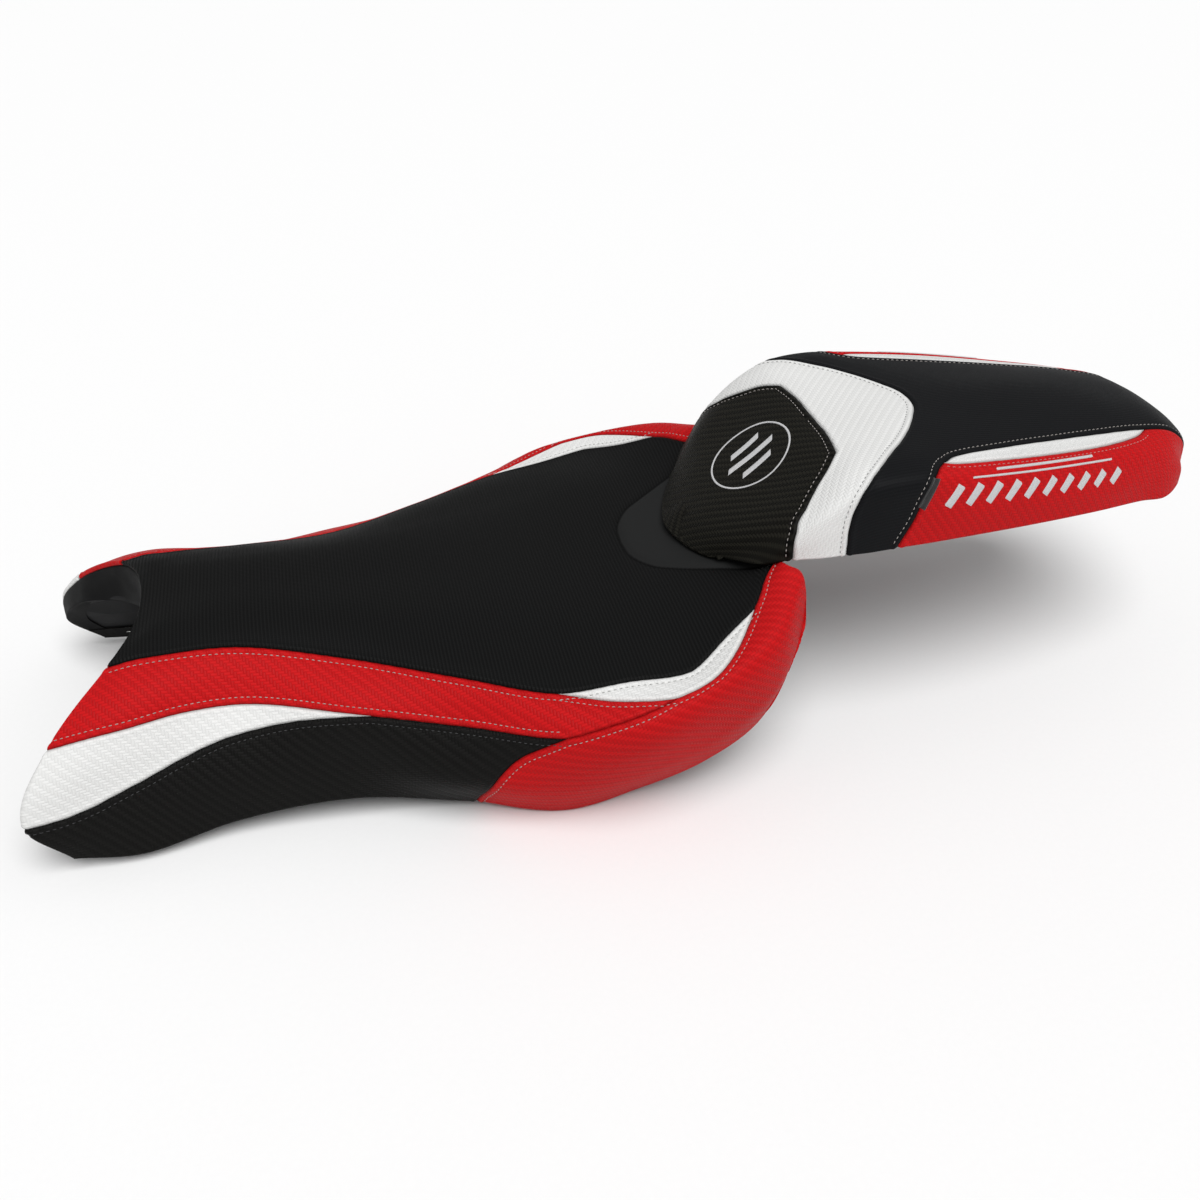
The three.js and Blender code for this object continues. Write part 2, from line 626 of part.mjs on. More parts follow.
function frontTongue() {
  const { front, rear, halfWidth, drop, toe } = TONGUE;
  const top = PAD_LEVEL.tongue - GAP;
  const bend = front + toe;
  const profile = [
    [rear, top],
    [bend, top],
    [bend - 4, top - drop + PLATE],
    [front, top - drop + PLATE],
    [front, top - drop],
    [bend - 1, top - drop],
    [bend + 3, top - PLATE],
    [rear, top - PLATE],
  ];
  return bentStrip(profile, 0, halfWidth);
}

function rearHook(side) {
  const { x, y, halfWidth, drop, reach, flange } = HOOK;
  const top = PAD_LEVEL.pillion - GAP;
  const [front, rear] = [x - flange / 2, x + flange / 2];
  const [low, tip] = [top - drop, rear + reach];
  const profile = [
    [front, top],
    [rear, top],
    [rear, low + PLATE],
    [tip - 3, low + PLATE],
    [tip, low + PLATE / 2],
    [tip - 3, low],
    [rear - PLATE, low],
    [rear - PLATE, top - PLATE],
    [front, top - PLATE],
  ];
  return bentStrip(profile, side * y, halfWidth);
}

const BRACKET_UNDERSIDE = PAD_LEVEL.bracket - GAP - PLATE;
function rearBracket() {
  const { front, rear, halfWidth, corner, holeX, holeY, holeRadius, screwX } = BRACKET;
  const holes = [[holeX, -holeY, holeRadius], [holeX, holeY, holeRadius]];
  let bracket = toSolid(plate(front, rear, halfWidth, corner, BRACKET_UNDERSIDE, PLATE, holes));
  for (const side of Object.values(SIDES)) {
    bracket = bracket.subtract(toSolid(countersunk(screwX, side * holeY, BRACKET_UNDERSIDE, GAP)));
  }
  return toGeometry(bracket);
}

function strikerPlate() {
  const { x, halfGap, plateHalf, corner } = STRIKER;
  const [halfLength, halfWidth] = plateHalf;
  const clearance = BAR / 2 + GAP;
  const holes = [[x, -halfGap, clearance], [x, halfGap, clearance]];
  const bottom = PAD_LEVEL.pillion - GAP - PLATE;
  return plate(x - halfLength, x + halfLength, halfWidth, corner, bottom, PLATE, holes);
}

// The U-shaped bar that the lock catches: two legs up through the plate and a rounded bow.
function strikerBar() {
  const { x, halfGap, drop, bend } = STRIKER;
  const top = PAD_LEVEL.pillion - GAP;
  const level = top - drop;
  const at = (y, z) => new THREE.Vector3(x, y, z);
  const bends = [-1, 1].map((side) => {
    const [leg, bow] = [at(side * halfGap, level + bend), at(side * (halfGap - bend), level)];
    return { leg, bow, corner: at(side * halfGap, level) };
  });
  const [left, right] = bends;
  const path = new THREE.CurvePath();
  path.add(new THREE.LineCurve3(at(-halfGap, top), left.leg));
  path.add(new THREE.QuadraticBezierCurve3(left.leg, left.corner, left.bow));
  path.add(new THREE.LineCurve3(left.bow, right.bow));
  path.add(new THREE.QuadraticBezierCurve3(right.bow, right.corner, right.leg));
  path.add(new THREE.LineCurve3(right.leg, at(halfGap, top)));
  const circle = new THREE.Shape().absarc(0, 0, BAR / 2, 0, 2 * Math.PI, false);
  const settings = { steps: 24, extrudePath: path, bevelEnabled: false, curveSegments: 5 };
  return new THREE.ExtrudeGeometry(circle, settings);
}

// ---------------------------------------------------------------- trim
const EMBLEM = { rows: [1.55, 2.5], lines: [-0.8, 0.8], thickness: 0.8, grid: [6, 6] };
const TAG = { rows: [4.3, 4.5], lines: [-4.1, -3.2], thickness: 0.6, grid: [2, 4] };
const TRIM_CLEARANCE = 0.8; // the trim's chords stay clear of the curved cover below

// A thin piece lying on a body's cover, over a small patch of it.
function patchOn(body, { rows, lines, thickness, grid }) {
  const { lerp: between } = THREE.MathUtils;
  const lifted = (height) => (s, t) => {
    const [row, line] = [between(...rows, s), between(...lines, t)];
    const top = body.at(row, line, 0);
    const down = body.at(row, line, 1).sub(top);
    return top.addScaledVector(down, -height);
  };
  const upper = gridOf(lifted(TRIM_CLEARANCE + thickness), ...grid);
  return solidBetween(upper, gridOf(lifted(TRIM_CLEARANCE), ...grid));
}

// ---------------------------------------------------------------- assembly
add('rider_base_pan', riderBase(), matt(MOULDED, 0.7));
add('rider_foam_core', foam(riderBody), matt(FOAM, 0.95));
riderCovers();
add('rider_front_lining', riderFrontLining(), matt(BLACK, 0.7));
add('rider_front_tongue', frontTongue(), steel());
add('rider_rear_bracket', rearBracket(), steel());

add('pillion_base_pan', pillionBase(), matt(MOULDED, 0.7));
add('pillion_foam_core', foam(pillionBody), matt(FOAM, 0.95));
pillionCovers();
add('pillion_emblem', patchOn(pillionBody, EMBLEM), matt(THREAD));
add('pillion_side_tag', patchOn(pillionBody, TAG), matt(BLACK));
add('pillion_striker_plate', strikerPlate(), steel());
add('pillion_striker_bar', strikerBar(), steel());

const SCREWS = {
  rider_tongue_screw: [TONGUE.screwX, TONGUE.screwY, PAD_LEVEL.tongue],
  pillion_striker_screw: [STRIKER.x, STRIKER.screwY, PAD_LEVEL.pillion],
  pillion_hook_screw: [HOOK.screwX, HOOK.y, PAD_LEVEL.pillion],
};
const BUFFERS = {
  rider_buffer_front: [RIDER_BUFFERS, RIDER_BUFFERS.front, PAD_LEVEL.riderFront],
  rider_buffer_rear: [RIDER_BUFFERS, RIDER_BUFFERS.rear, PAD_LEVEL.riderRear],
  pillion_buffer_front: [PILLION_BUFFERS, PILLION_BUFFERS.front, PAD_LEVEL.pillion],
  pillion_buffer_rear: [PILLION_BUFFERS, PILLION_BUFFERS.rear, PAD_LEVEL.pillion],
};
for (const [label, side] of Object.entries(SIDES)) {
  const bracketScrew = countersunk(BRACKET.screwX, side * BRACKET.holeY, BRACKET_UNDERSIDE);
  add(`rider_bracket_screw_${label}`, bracketScrew, steel());
  add(`pillion_rear_hook_${label}`, rearHook(side), steel());
  for (const [name, [x, y, pad]] of Object.entries(SCREWS)) {
    add(`${name}_${label}`, screw(x, side * y, pad), steel());
  }
  for (const [name, [size, place, pad]] of Object.entries(BUFFERS)) {
    add(`${name}_${label}`, buffer(size, place, side, pad), matt(RUBBER, 0.9));
  }
}

export default group;
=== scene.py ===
"""Looks of a two-piece motorcycle seat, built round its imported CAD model.

Sizes are in millimetres in the layout's datum frame, as in the part's source: x to the rear, y to
the rider's right, z up, from a point on the centre plane. Meshes are written in metres in the row
frame. The covers are sewn panels: each is a patch of a smooth body surface between its seams.
"""
import json
import math

import bpy
import numpy as np
from mathutils import Matrix, Vector
from mathutils.kdtree import KDTree


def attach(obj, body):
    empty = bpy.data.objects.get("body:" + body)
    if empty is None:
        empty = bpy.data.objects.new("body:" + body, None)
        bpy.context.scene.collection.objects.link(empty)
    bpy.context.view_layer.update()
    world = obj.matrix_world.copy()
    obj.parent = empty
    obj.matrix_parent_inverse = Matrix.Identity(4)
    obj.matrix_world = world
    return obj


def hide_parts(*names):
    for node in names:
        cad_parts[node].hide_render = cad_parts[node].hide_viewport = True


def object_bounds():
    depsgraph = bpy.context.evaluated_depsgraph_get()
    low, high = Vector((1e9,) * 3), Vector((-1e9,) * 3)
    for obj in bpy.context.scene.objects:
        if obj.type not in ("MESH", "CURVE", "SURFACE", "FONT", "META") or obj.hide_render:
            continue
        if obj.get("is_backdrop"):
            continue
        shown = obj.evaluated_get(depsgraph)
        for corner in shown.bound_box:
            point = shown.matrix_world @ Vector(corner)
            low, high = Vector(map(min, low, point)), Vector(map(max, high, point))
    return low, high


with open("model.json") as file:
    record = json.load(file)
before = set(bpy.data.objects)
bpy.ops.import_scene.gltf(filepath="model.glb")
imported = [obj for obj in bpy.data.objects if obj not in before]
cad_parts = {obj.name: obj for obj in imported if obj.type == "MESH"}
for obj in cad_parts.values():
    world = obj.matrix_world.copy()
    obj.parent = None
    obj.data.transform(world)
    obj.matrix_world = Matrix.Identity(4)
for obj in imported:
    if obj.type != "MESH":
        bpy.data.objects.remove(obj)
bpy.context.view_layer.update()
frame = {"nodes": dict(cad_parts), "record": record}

# ---------- driving sizes, in millimetres
ORIGIN = np.array([150.0, 0.0, -23.3])  # the row frame's origin, seen from the datum
COVER = 1.6  # thickness of the vinyl with its scrim
SEAM_DEPTH = 1.5  # how far two panels dip where they meet
SEAM_RADIUS = 2.6  # over what width each of them rolls into the seam
ALLOWANCE = 0.35  # lift of a panel over the folded seam allowance beneath it
ALLOWANCE_PLACE, ALLOWANCE_WIDTH = 2.6, 1.3  # where that lift is, from the seam
PUFF_REACH = 16.0  # how far from its seams the padding under a panel grows full
STITCH_OFFSET = 4.3  # from a seam to its topstitching
STITCH_PITCH = 3.55
STITCH_LENGTH = 2.35
STITCH_PULL = 0.55  # how far the thread pulls the cover in
STITCH_GROOVE = 0.95  # over what width on each side
THREAD = 0.56  # thread diameter
SPACING = 2.6  # of mesh columns and rows away from the seams
EDGE_STEPS = np.array([0, 0.35, 0.8, 1.4, 2.1, 2.8, 3.5, 4.3, 5.1, 6.2])  # mesh rows next to a seam
RIM_TURN = 0.3  # how far a rim bulges, as a share of its thickness
RIM_BULGE = 4.5  # and at the most
FRONT_BULGE = 0.9  # the same at the rider seat's front
RIM_SQUARENESS = 2.5  # 2 is a half ellipse
RIM_SHARES = (1 - np.cos(np.linspace(0, math.pi, 13))) / 2  # where its mesh rows lie
WRAP_SHARES = np.array([0, 0.2, 0.4, 0.6, 0.8, 0.92, 1])
WRAP = 3.0  # how far the covers reach round the rider seat's front edge, to the lining's seam
FLAP = 1.0  # clearance of a hem's flap under the moulded base
CUSHION_GAP = 4.2  # from the foam to the cover above it and to the base below it
STAPLE_PITCH = 24.0
GIRTH_STEPS = 12  # into how many parts rows and lines are divided to measure girths
TOW = 1.84  # width of the carbon pattern's tows, which gives diagonal rows 5.2 apart
WEAVE_ANGLE = 48  # of its rows to the length of the seat, outwards to the rear
RIB = 2.2  # pitch of the grip vinyl's ribs

# Cross sections of the outer shapes, front to rear: points [x, distance from the centre plane, z]
# from the centre line to the bottom edge, the same as in the CAD source.
RIDER_ROWS = [
    [[-238, 0, 18], [-242, 32, 17.6], [-255, 57, 12], [-291, 90.6, -16], [-309, 112.7, -53], [-290, 114, -81]],
    [[-215, 0, 20], [-217, 34, 20], [-222, 56.5, 15], [-248, 88, -4.5], [-262, 105.5, -49], [-252, 115, -84.5]],
    [[-180, 0, 21], [-180, 34, 20], [-180, 57, 13], [-185, 80.5, -11], [-190, 102, -47], [-195, 107.5, -78]],
    [[-120, 0, 15], [-120, 43, 14], [-120, 71.5, 4.5], [-122, 102, -14], [-123, 109.5, -47], [-125, 111, -73]],
    [[-55, 0, 10], [-55, 62, 9], [-55, 102.5, 1], [-55, 123, -21.5], [-55, 137, -52], [-55, 122, -83]],
    [[0, 0, 8], [0, 78, 7], [0, 130, 0], [0, 153, -17], [0, 151.5, -54.5], [2, 136, -89.5]],
    [[45, 0, 9], [45, 85, 10], [42, 138, 4], [45, 166, -3.5], [46, 157, -48], [48, 136.5, -81.5]],
    [[85, 0, 14], [84, 84, 15], [82, 138, 10], [88, 159, 10], [90, 154.5, -32], [88, 144, -60]],
    [[120, 0, 18], [121, 70, 23], [124, 114.5, 27], [132, 136.5, 24.5], [134, 141, -8.5], [127, 132.5, -45]],
    [[156, 0, 22], [156, 56, 28], [151, 93, 41], [159, 101, 37], [160, 110, 11.5], [152, 120, -4.5]],
]
# From each point of a rider row to the underside's point below it: how far sideways and upwards.
RIDER_INWARD = [[0, -34], [0, -33], [-7, -28], [-14, -12], [-15, -3], [-9, 1]]
PILLION_ROWS = [
    [[104, 0, 21.5], [108.5, 24, 22], [114.5, 40, 23], [119, 48, 24], [122, 52, 25.5], [124, 54, 26.5]],
    [[126, 0, 44], [127, 32, 43.5], [131, 56, 42], [136, 67, 40], [138, 73, 38], [139, 78, 36]],
    [[160, 0, 66], [161, 40, 66.5], [163, 77, 67.5], [163, 88, 64], [159, 91, 55], [157, 91, 44]],
    [[195, 0, 89.5], [196, 42, 90.5], [197, 80, 91], [198, 92, 87], [197, 94.5, 69], [196, 95, 44.5]],
    [[228, 0, 95], [229, 42, 96], [230, 80, 95.5], [231, 94, 90.5], [230, 96, 70], [228, 96.5, 46]],
    [[262, 0, 96.5], [262, 42, 96], [262, 80, 93], [262, 91.5, 89.5], [262, 96, 69], [262, 96.5, 47.5]],
    [[315, 0, 96], [315, 38, 93], [315, 76, 88], [315, 86, 85], [315, 92.5, 65], [315, 93.5, 47.5]],
    [[370, 0, 92], [370, 34, 88.8], [370, 66, 82], [370, 76, 78.5], [370, 84, 60], [370, 86, 45.5]],
    [[415, 0, 84.5], [415, 28, 83], [415, 54, 77.5], [414, 66, 71.5], [413, 73, 56], [412, 75, 41]],
    [[450, 0, 74.5], [450, 24, 73.5], [446, 45, 71.5], [441, 57, 65], [438, 65, 53], [436, 69, 37.5]],
    [[470, 0, 60], [468, 22, 60], [463, 40, 59], [454, 49.5, 55.5], [452, 57, 48], [450, 60, 40]],
    [[474, 0, 43], [472, 20, 42.5], [467, 36, 42], [461, 46, 41], [456, 52, 40.5], [452, 57, 40]],
]
# The pillion seat's underside is a shallow dish: its rim lies inside the seat's bottom edge and a
# little above it, and it rises towards the centre line.
DISH_RIM, DISH_LIFT, DISH_RISE = 8, 1.2, 4
DISH_SPREAD = [0, 0.42, 0.74, 0.88, 0.95, 1]  # its points, as shares of its half width
DISH_PULL = [10, 7, 2, 0, 0, 0, 0, 0, 0, -3, -8, -11]  # how far each row of it is moved rearwards

# Seams on the outer shapes, as [row, line] positions for the right-hand side. They are those of the
# CAD source, with a little smoother run over the pillion seat's shoulders and at its tail.
RIDER_SEAMS = {
    "upper": [[0, 2], [5, 2]],
    "insert_top": [[5, 2], [5.93, 1.92], [6.91, 2.01]],
    "insert_rise": [[6.91, 2.01], [7.45, 1.91], [8.04, 1.98]],
    "horn_top": [[8.04, 1.98], [8.3, 1.87], [8.62, 1.67], [9, 1.5]],
    "insert_below": [[5, 2], [5.28, 2.08], [5.62, 2.22], [6.08, 2.4], [6.5, 2.6]],
    "horn_rise": [[6.5, 2.6], [7.05, 2.62], [7.5, 2.37], [8.04, 1.98]],
    "lower": [[0, 3], [1.03, 3.14], [1.53, 3.07], [2, 3.02], [3.2, 3]],
    "lower_rear": [[3.2, 3], [5, 2.97]],
    "rear_rise": [[5, 2.97], [5.5, 2.8], [6.05, 2.7], [6.5, 2.6]],
    "waist_to_front": [
        [0, 4], [0.43, 4.05], [0.85, 4], [1.25, 3.85], [1.55, 3.67], [1.85, 3.5], [2.2, 3.37], [2.6, 3.22],
        [3.2, 3],
    ],
    "rear_fall": [[5, 2.97], [4.78, 3.15], [4.5, 3.43], [4.28, 3.85], [4.12, 4.5], [4.05, 5]],
}
RIDER_EDGES = {"bottom_front": [[0, 5], [4.05, 5]], "bottom_rear": [[4.05, 5], [9, 5]]}
PILLION_SEAMS = {
    "front_side": [
        [2, 5], [1.93, 4.2], [1.87, 3.25], [1.95, 2.45], [2.15, 1.97], [2.43, 1.68], [2.73, 1.46],
        [3.04, 1.17],
    ],
    "front_rear": [[3.04, 1.17], [3.16, 0.6], [3.19, 0]],
    "chevron_side": [[2.87, 5], [2.85, 4.08], [2.94, 3.3], [3.12, 2.73], [3.3, 2.3], [3.5, 1.97]],
    "chevron_rear": [
        [3.5, 1.97], [3.9, 1.6], [4.35, 1.25], [4.76, 0.85], [5.03, 0.48], [5.13, 0.22], [5.15, 0],
    ],
    "flap_rear": [[3.9, 5], [4.1, 4.3], [4.25, 3.53], [4.45, 2.95], [4.62, 2.42], [4.8, 2.05]],
    "stripe_top": [
        [4.8, 2.05], [5.1, 1.83], [5.93, 1.68], [6.48, 1.65], [7.05, 1.65], [7.73, 1.72], [8.2, 1.78],
    ],
    "stripe_low": [
        [4.8, 2.05], [5.05, 2.17], [5.8, 2.16], [6.9, 2.15], [7.6, 2.09], [7.95, 1.97], [8.2, 1.78],
    ],
    "tail": [[8.2, 1.78], [8.72, 1.865], [9.15, 1.96], [10, 2.16], [11, 2.4]],
}
PILLION_EDGES = {
    "nose": [[0, -5], [0, 5]],
    "bottom_rear": [[3.9, 5], [11, 5]],
    "behind": [[11, 2.4], [11, 0]],
}
# The smooth bum stop set into the ribbed top cover, from the centre line to the rear edge.
LOBE = [[6.65, 0], [6.7, 0.2], [6.95, 0.4], [7.32, 0.54], [7.72, 0.7], [8.18, 0.93], [8.78, 1.4], [9, 1.6]]
LOBE_GROOVE, LOBE_STEP = 1.1, 0.9  # depth of the groove round it and height of its field
LOBE_PAINTED_SHEEN = 3.0  # how much paler its smooth vinyl is painted, as painted sheen
LOBE_REACH = 9.0  # how far from its outline its depth is measured

SIDES = {"L": -1, "R": 1}


# ---------- smooth curves and surfaces
def spline(points, t):
    """Places on the centripetal Catmull-Rom curve through points, which may differ for each t."""
    t = np.asarray(t, float)
    points = np.broadcast_to(points, t.shape + points.shape[-2:])
    last = points.shape[-2] - 1
    place = np.clip(t, 0, 1) * last
    span = np.minimum(place.astype(int), last - 1)
    share = (place - span)[..., None]
    before = 2 * points[..., :1, :] - points[..., 1:2, :]
    after = 2 * points[..., -1:, :] - points[..., -2:-1, :]
    extended = np.concatenate([before, points, after], axis=-2)

    def control(k):
        return np.take_along_axis(extended, (span + k)[..., None, None], axis=-2)[..., 0, :]

    p0, p1, p2, p3 = (control(k) for k in range(4))
    d0, d1, d2 = (knot_step(a, b) for a, b in ((p0, p1), (p1, p2), (p2, p3)))
    leave = ((p1 - p0) / d0 - (p2 - p0) / (d0 + d1) + (p2 - p1) / d1) * d1
    arrive = ((p2 - p1) / d1 - (p3 - p1) / (d1 + d2) + (p3 - p2) / d2) * d1
    square = -3 * p1 + 3 * p2 - 2 * leave - arrive
    cube = 2 * p1 - 2 * p2 + leave + arrive
    return p1 + leave * share + square * share**2 + cube * share**3


def knot_step(a, b):
    return np.maximum(((a - b) ** 2).sum(-1) ** 0.25, 1e-4)[..., None]


def unit(vectors):
    return vectors / np.maximum(np.linalg.norm(vectors, axis=-1, keepdims=True), 1e-9)


def lengths_along(points):
    """The length from the start of each row of points to each of its points."""
    gone = np.linalg.norm(np.diff(points, axis=1), axis=-1)
    return np.concatenate([np.zeros((len(points), 1)), np.cumsum(gone, axis=1)], axis=1)


def smooth_step(x):
    x = np.clip(x, 0, 1)
    return x * x * (3 - 2 * x)


class Surface:
    """A surface through rows of control points, mirrored about the centre plane."""

    def __init__(self, rows):
        self.rows = np.array(rows, float)
        self.last_row, self.last_line = self.rows.shape[0] - 1, self.rows.shape[1] - 1

    def at(self, row, line):
        row, line = np.broadcast_arrays(np.asarray(row, float), np.asarray(line, float))
        lines = range(self.last_line + 1)
        half = np.stack([spline(self.rows[:, k], row / self.last_row) for k in lines], axis=-2)
        mirrored = half[..., :0:-1, :] * np.array([1, -1, 1])
        section = np.concatenate([mirrored, half], axis=-2)
        return spline(section, (line / self.last_line + 1) / 2)


class Body:
    """A seat's outer surface and the underside of its moulded base.

    flap is how many lines its hems reach under the base, swell the fullness of the padding
    that the rows leave out, as a function of rows and lines."""

    def __init__(self, name, rows, inner_rows, flap, swell):
        self.name, self.flap, self.swell = name, flap, swell
        self.outer, self.inner = Surface(rows), Surface(inner_rows)
        self.last_row, self.last_line = self.outer.last_row, self.outer.last_line
        rows = np.arange(self.last_row * GIRTH_STEPS + 1) / GIRTH_STEPS
        lines = np.arange(self.last_line * GIRTH_STEPS + 1) / GIRTH_STEPS
        steps = np.diff(self.at(rows[:, None], lines), axis=1)
        round_the_body = np.hypot(steps[..., 1], steps[..., 2])
        self.girths = np.pad(np.cumsum(round_the_body, axis=1), ((0, 0), (1, 0)))
        self.profile = lengths_along(self.at(rows, 0.0)[None])[0]

    def at(self, row, line):
        return self.outer.at(row, line)

    def girth(self, row, line):
        """How far out from the centre line a place lies along the skin, to the right."""
        down, out = row * GIRTH_STEPS, np.abs(line) * GIRTH_STEPS
        i = np.minimum(down.astype(int), self.girths.shape[0] - 2)
        j = np.minimum(out.astype(int), self.girths.shape[1] - 2)
        share, over = down - i, out - j
        inner = (1 - share) * self.girths[i, j] + share * self.girths[i + 1, j]
        outer = (1 - share) * self.girths[i, j + 1] + share * self.girths[i + 1, j + 1]
        return np.sign(line) * ((1 - over) * inner + over * outer)

    def slopes(self, row, line, step=0.02):
        """How the surface moves per row and per line."""
        rows = np.clip(np.asarray(row, float), step, self.last_row - step)
        lines = np.clip(np.asarray(line, float), step - self.last_line, self.last_line - step)
        by_row = self.at(rows + step, line) - self.at(rows - step, line)
        by_line = self.at(row, lines + step) - self.at(row, lines - step)
        return by_row / (2 * step), by_line / (2 * step)

    def normal(self, row, line):
        return unit(np.cross(*self.slopes(row, line)))

    def outward(self, row, line):
        """At a free edge, the direction in which the cover leaves the outer surface."""
        by_row, by_line = self.slopes(row, line)
        corner = 0.5
        aside = smooth_step(1 - (self.last_line - np.abs(line)) / corner)[..., None]
        ahead = smooth_step(1 - row / corner)[..., None]
        behind = smooth_step(1 - (self.last_row - row) / corner)[..., None]
        side = np.sign(line)[..., None] * unit(by_line)
        return unit(aside * side + (behind - ahead) * unit(by_row))

    def rim(self, row, line, t):
        """The cover's way from the outer edge round to the base's edge: points and normals."""
        top, under = self.at(row, line), self.inner.at(row, line)
        out, down = self.outward(row, line), unit(under - top)
        depth = np.linalg.norm(under - top, axis=-1)[:, None, None]
        most = RIM_BULGE
        if self.name == "rider_seat":
            most = RIM_BULGE + (FRONT_BULGE - RIM_BULGE) * smooth_step(1 - row)[:, None, None]
        bulge = np.minimum(RIM_TURN * depth, most)
        angle = math.pi * np.broadcast_to(t, (len(row), t.shape[-1]))[..., None]
        sunk, lifted = np.cos(angle), np.sin(angle)
        sunk = np.sign(sunk) * np.abs(sunk) ** (2 / RIM_SQUARENESS)
        lifted = np.abs(lifted) ** (2 / RIM_SQUARENESS)
        down, out = down[:, None], out[:, None]
        points = top[:, None] + down * (depth + FLAP) * (1 - sunk) / 2 + out * bulge * lifted
        normals = unit(-down * np.cos(angle) / depth + out * np.sin(angle) / bulge)
        return points, normals

    def part_of_rim(self, row, line, shares, first=0.0, last=None):
        """The rim between two lengths from the outer edge, at shares of the way between them."""
        fine = (1 - np.cos(np.linspace(0, math.pi, 49))) / 2
        gone = lengths_along(self.rim(row, line, fine)[0])
        last = gone[:, -1] if last is None else np.minimum(last, gone[:, -1] - 1)
        lengths = first + (last - first)[:, None] * shares
        t = np.stack([np.interp(wanted, at, fine) for wanted, at in zip(lengths, gone)])
        points, normals = self.rim(row, line, t)
        return points, normals, lengths

    def hem(self, row, line, rows_in=0.0, lines_in=None, shares=RIM_SHARES, first=0.0):
        """The cover's way round the rim and under the base: points, normals and lengths."""
        points, normals, _ = self.part_of_rim(row, line, shares, first)
        inward = self.flap if lines_in is None else lines_in
        inward = np.sign(line) * inward * smooth_step(np.abs(line) - self.last_line + 1)
        down = unit(self.inner.at(row, line) - self.at(row, line))
        turned = [points]
        for share in (0.25, 0.5, 0.75, 1):
            place = self.inner.at(row + rows_in * share, line - inward * share)
            turned.append((place + down * FLAP)[:, None])
        flap = np.concatenate(turned[1:], axis=1)
        points = np.concatenate(turned, axis=1)
        normals = np.concatenate([normals, np.broadcast_to(down[:, None], flap.shape)], axis=1)
        return points, normals, first + lengths_along(points)

    def near(self, row, line, a, b):
        """The places that lie a and b millimetres from a place, along the seat and across it."""
        by_row, by_line = self.slopes(np.array(row), np.array(line))
        along = unit(by_row)
        across = unit(by_line - along * (by_line @ along))
        origin = self.at(row, line)
        rows, lines = np.full(np.shape(a), float(row)), np.full(np.shape(a), float(line))
        for _ in range(8):
            offset = self.at(rows, lines) - origin
            miss_a, miss_b = a - offset @ along, b - offset @ across
            by_row, by_line = self.slopes(rows, lines)
            m = [by_row @ along, by_line @ along, by_row @ across, by_line @ across]
            det = m[0] * m[3] - m[1] * m[2]
            rows = rows + (m[3] * miss_a - m[1] * miss_b) / det
            lines = lines + (m[0] * miss_b - m[2] * miss_a) / det
        return rows, lines


def rider_underside():
    rows = np.array(RIDER_ROWS, float)
    rows[:, :, 1:] += np.array(RIDER_INWARD)
    return rows


def pillion_underside():
    rows = np.array(PILLION_ROWS, float)
    for row, pull in zip(rows, DISH_PULL):
        edge, low = row[-1, 1], row[-1, 2]
        row[:, 0] += pull
        row[:, 1] = np.array(DISH_SPREAD) * (edge - DISH_RIM)
        row[:, 2] = low + DISH_LIFT + DISH_RISE * (1 - np.array(DISH_SPREAD) ** 2)
    return rows


def rider_swell(row, line):
    """Fullness behind the front edge and at the noses of the two wings."""
    across = np.abs(line)
    crest = smooth_step((across - 0.6) / 0.8) * smooth_step((2.9 - across) / 0.8)
    behind_edge = 1.4 * crest * np.exp(-(((row - 0.45) / 0.32) ** 2))
    nose = 2.8 * smooth_step(1 - row / 1.3) * np.exp(-(((across - 3.6) / 0.6) ** 2))
    return behind_edge + nose


def no_swell(row, line):
    return np.zeros(np.shape(row))


RIDER = Body("rider_seat", RIDER_ROWS, rider_underside(), flap=0.4, swell=rider_swell)
PILLION = Body("pillion_seat", PILLION_ROWS, pillion_underside(), flap=1.2, swell=no_swell)


# ---------- seams
def run_of(places, samples=60):
    """A seam as many [row, line] places on a smooth curve."""
    return spline(np.array(places, float), np.linspace(0, 1, samples))


def joined(*runs):
    return np.concatenate([runs[0], *[run[1:] for run in runs[1:]]])


def mirrored(run):
    return run * np.array([1, -1])


def across_centre(run):
    return joined(mirrored(run), run[::-1])


def parallel(body, run, offset):
    """A run moved sideways over the surface: outwards on the right-hand side if offset > 0."""
    run = Run(body, run).at(np.linspace(0, 1, 500))
    points, normals = body.at(*run.T), body.normal(*run.T)
    aside = unit(np.cross(normals, np.gradient(points, axis=0))) * offset
    places = run.copy()
    for _ in range(4):
        miss = points + aside - body.at(*places.T)
        by_row, by_line = body.slopes(*places.T)
        a, b, c = (by_row**2).sum(1), (by_row * by_line).sum(1), (by_line**2).sum(1)
        p, q = (miss * by_row).sum(1), (miss * by_line).sum(1)
        det = a * c - b**2
        places = places + np.stack([(c * p - b * q) / det, (a * q - b * p) / det], axis=1)
    clear = Near(body, [run]).distance(body.at(*places.T)) > abs(offset) - 0.15
    inside = (places[:, 0] >= 0) & (places[:, 0] <= body.last_row)
    return places[clear & inside & (np.abs(places[:, 1]) <= body.last_line)]


class Near:
    """Distances from the nearest of a set of lines on a body."""

    def __init__(self, body, runs, spacing=0.5):
        points = []
        for run in runs:
            length = np.linalg.norm(np.diff(body.at(*run.T), axis=0), axis=1).sum()
            fractions = np.linspace(0, 1, int(length / spacing) + 2)
            points.append(body.at(*Run(body, run).at(fractions).T))
        points = np.concatenate(points)
        self.tree = KDTree(len(points))
        for k, point in enumerate(points):
            self.tree.insert(point, k)
        self.tree.balance()

    def distance(self, points):
        flat = points.reshape(-1, 3)
        return np.array([self.tree.find(p)[2] for p in flat]).reshape(points.shape[:-1])


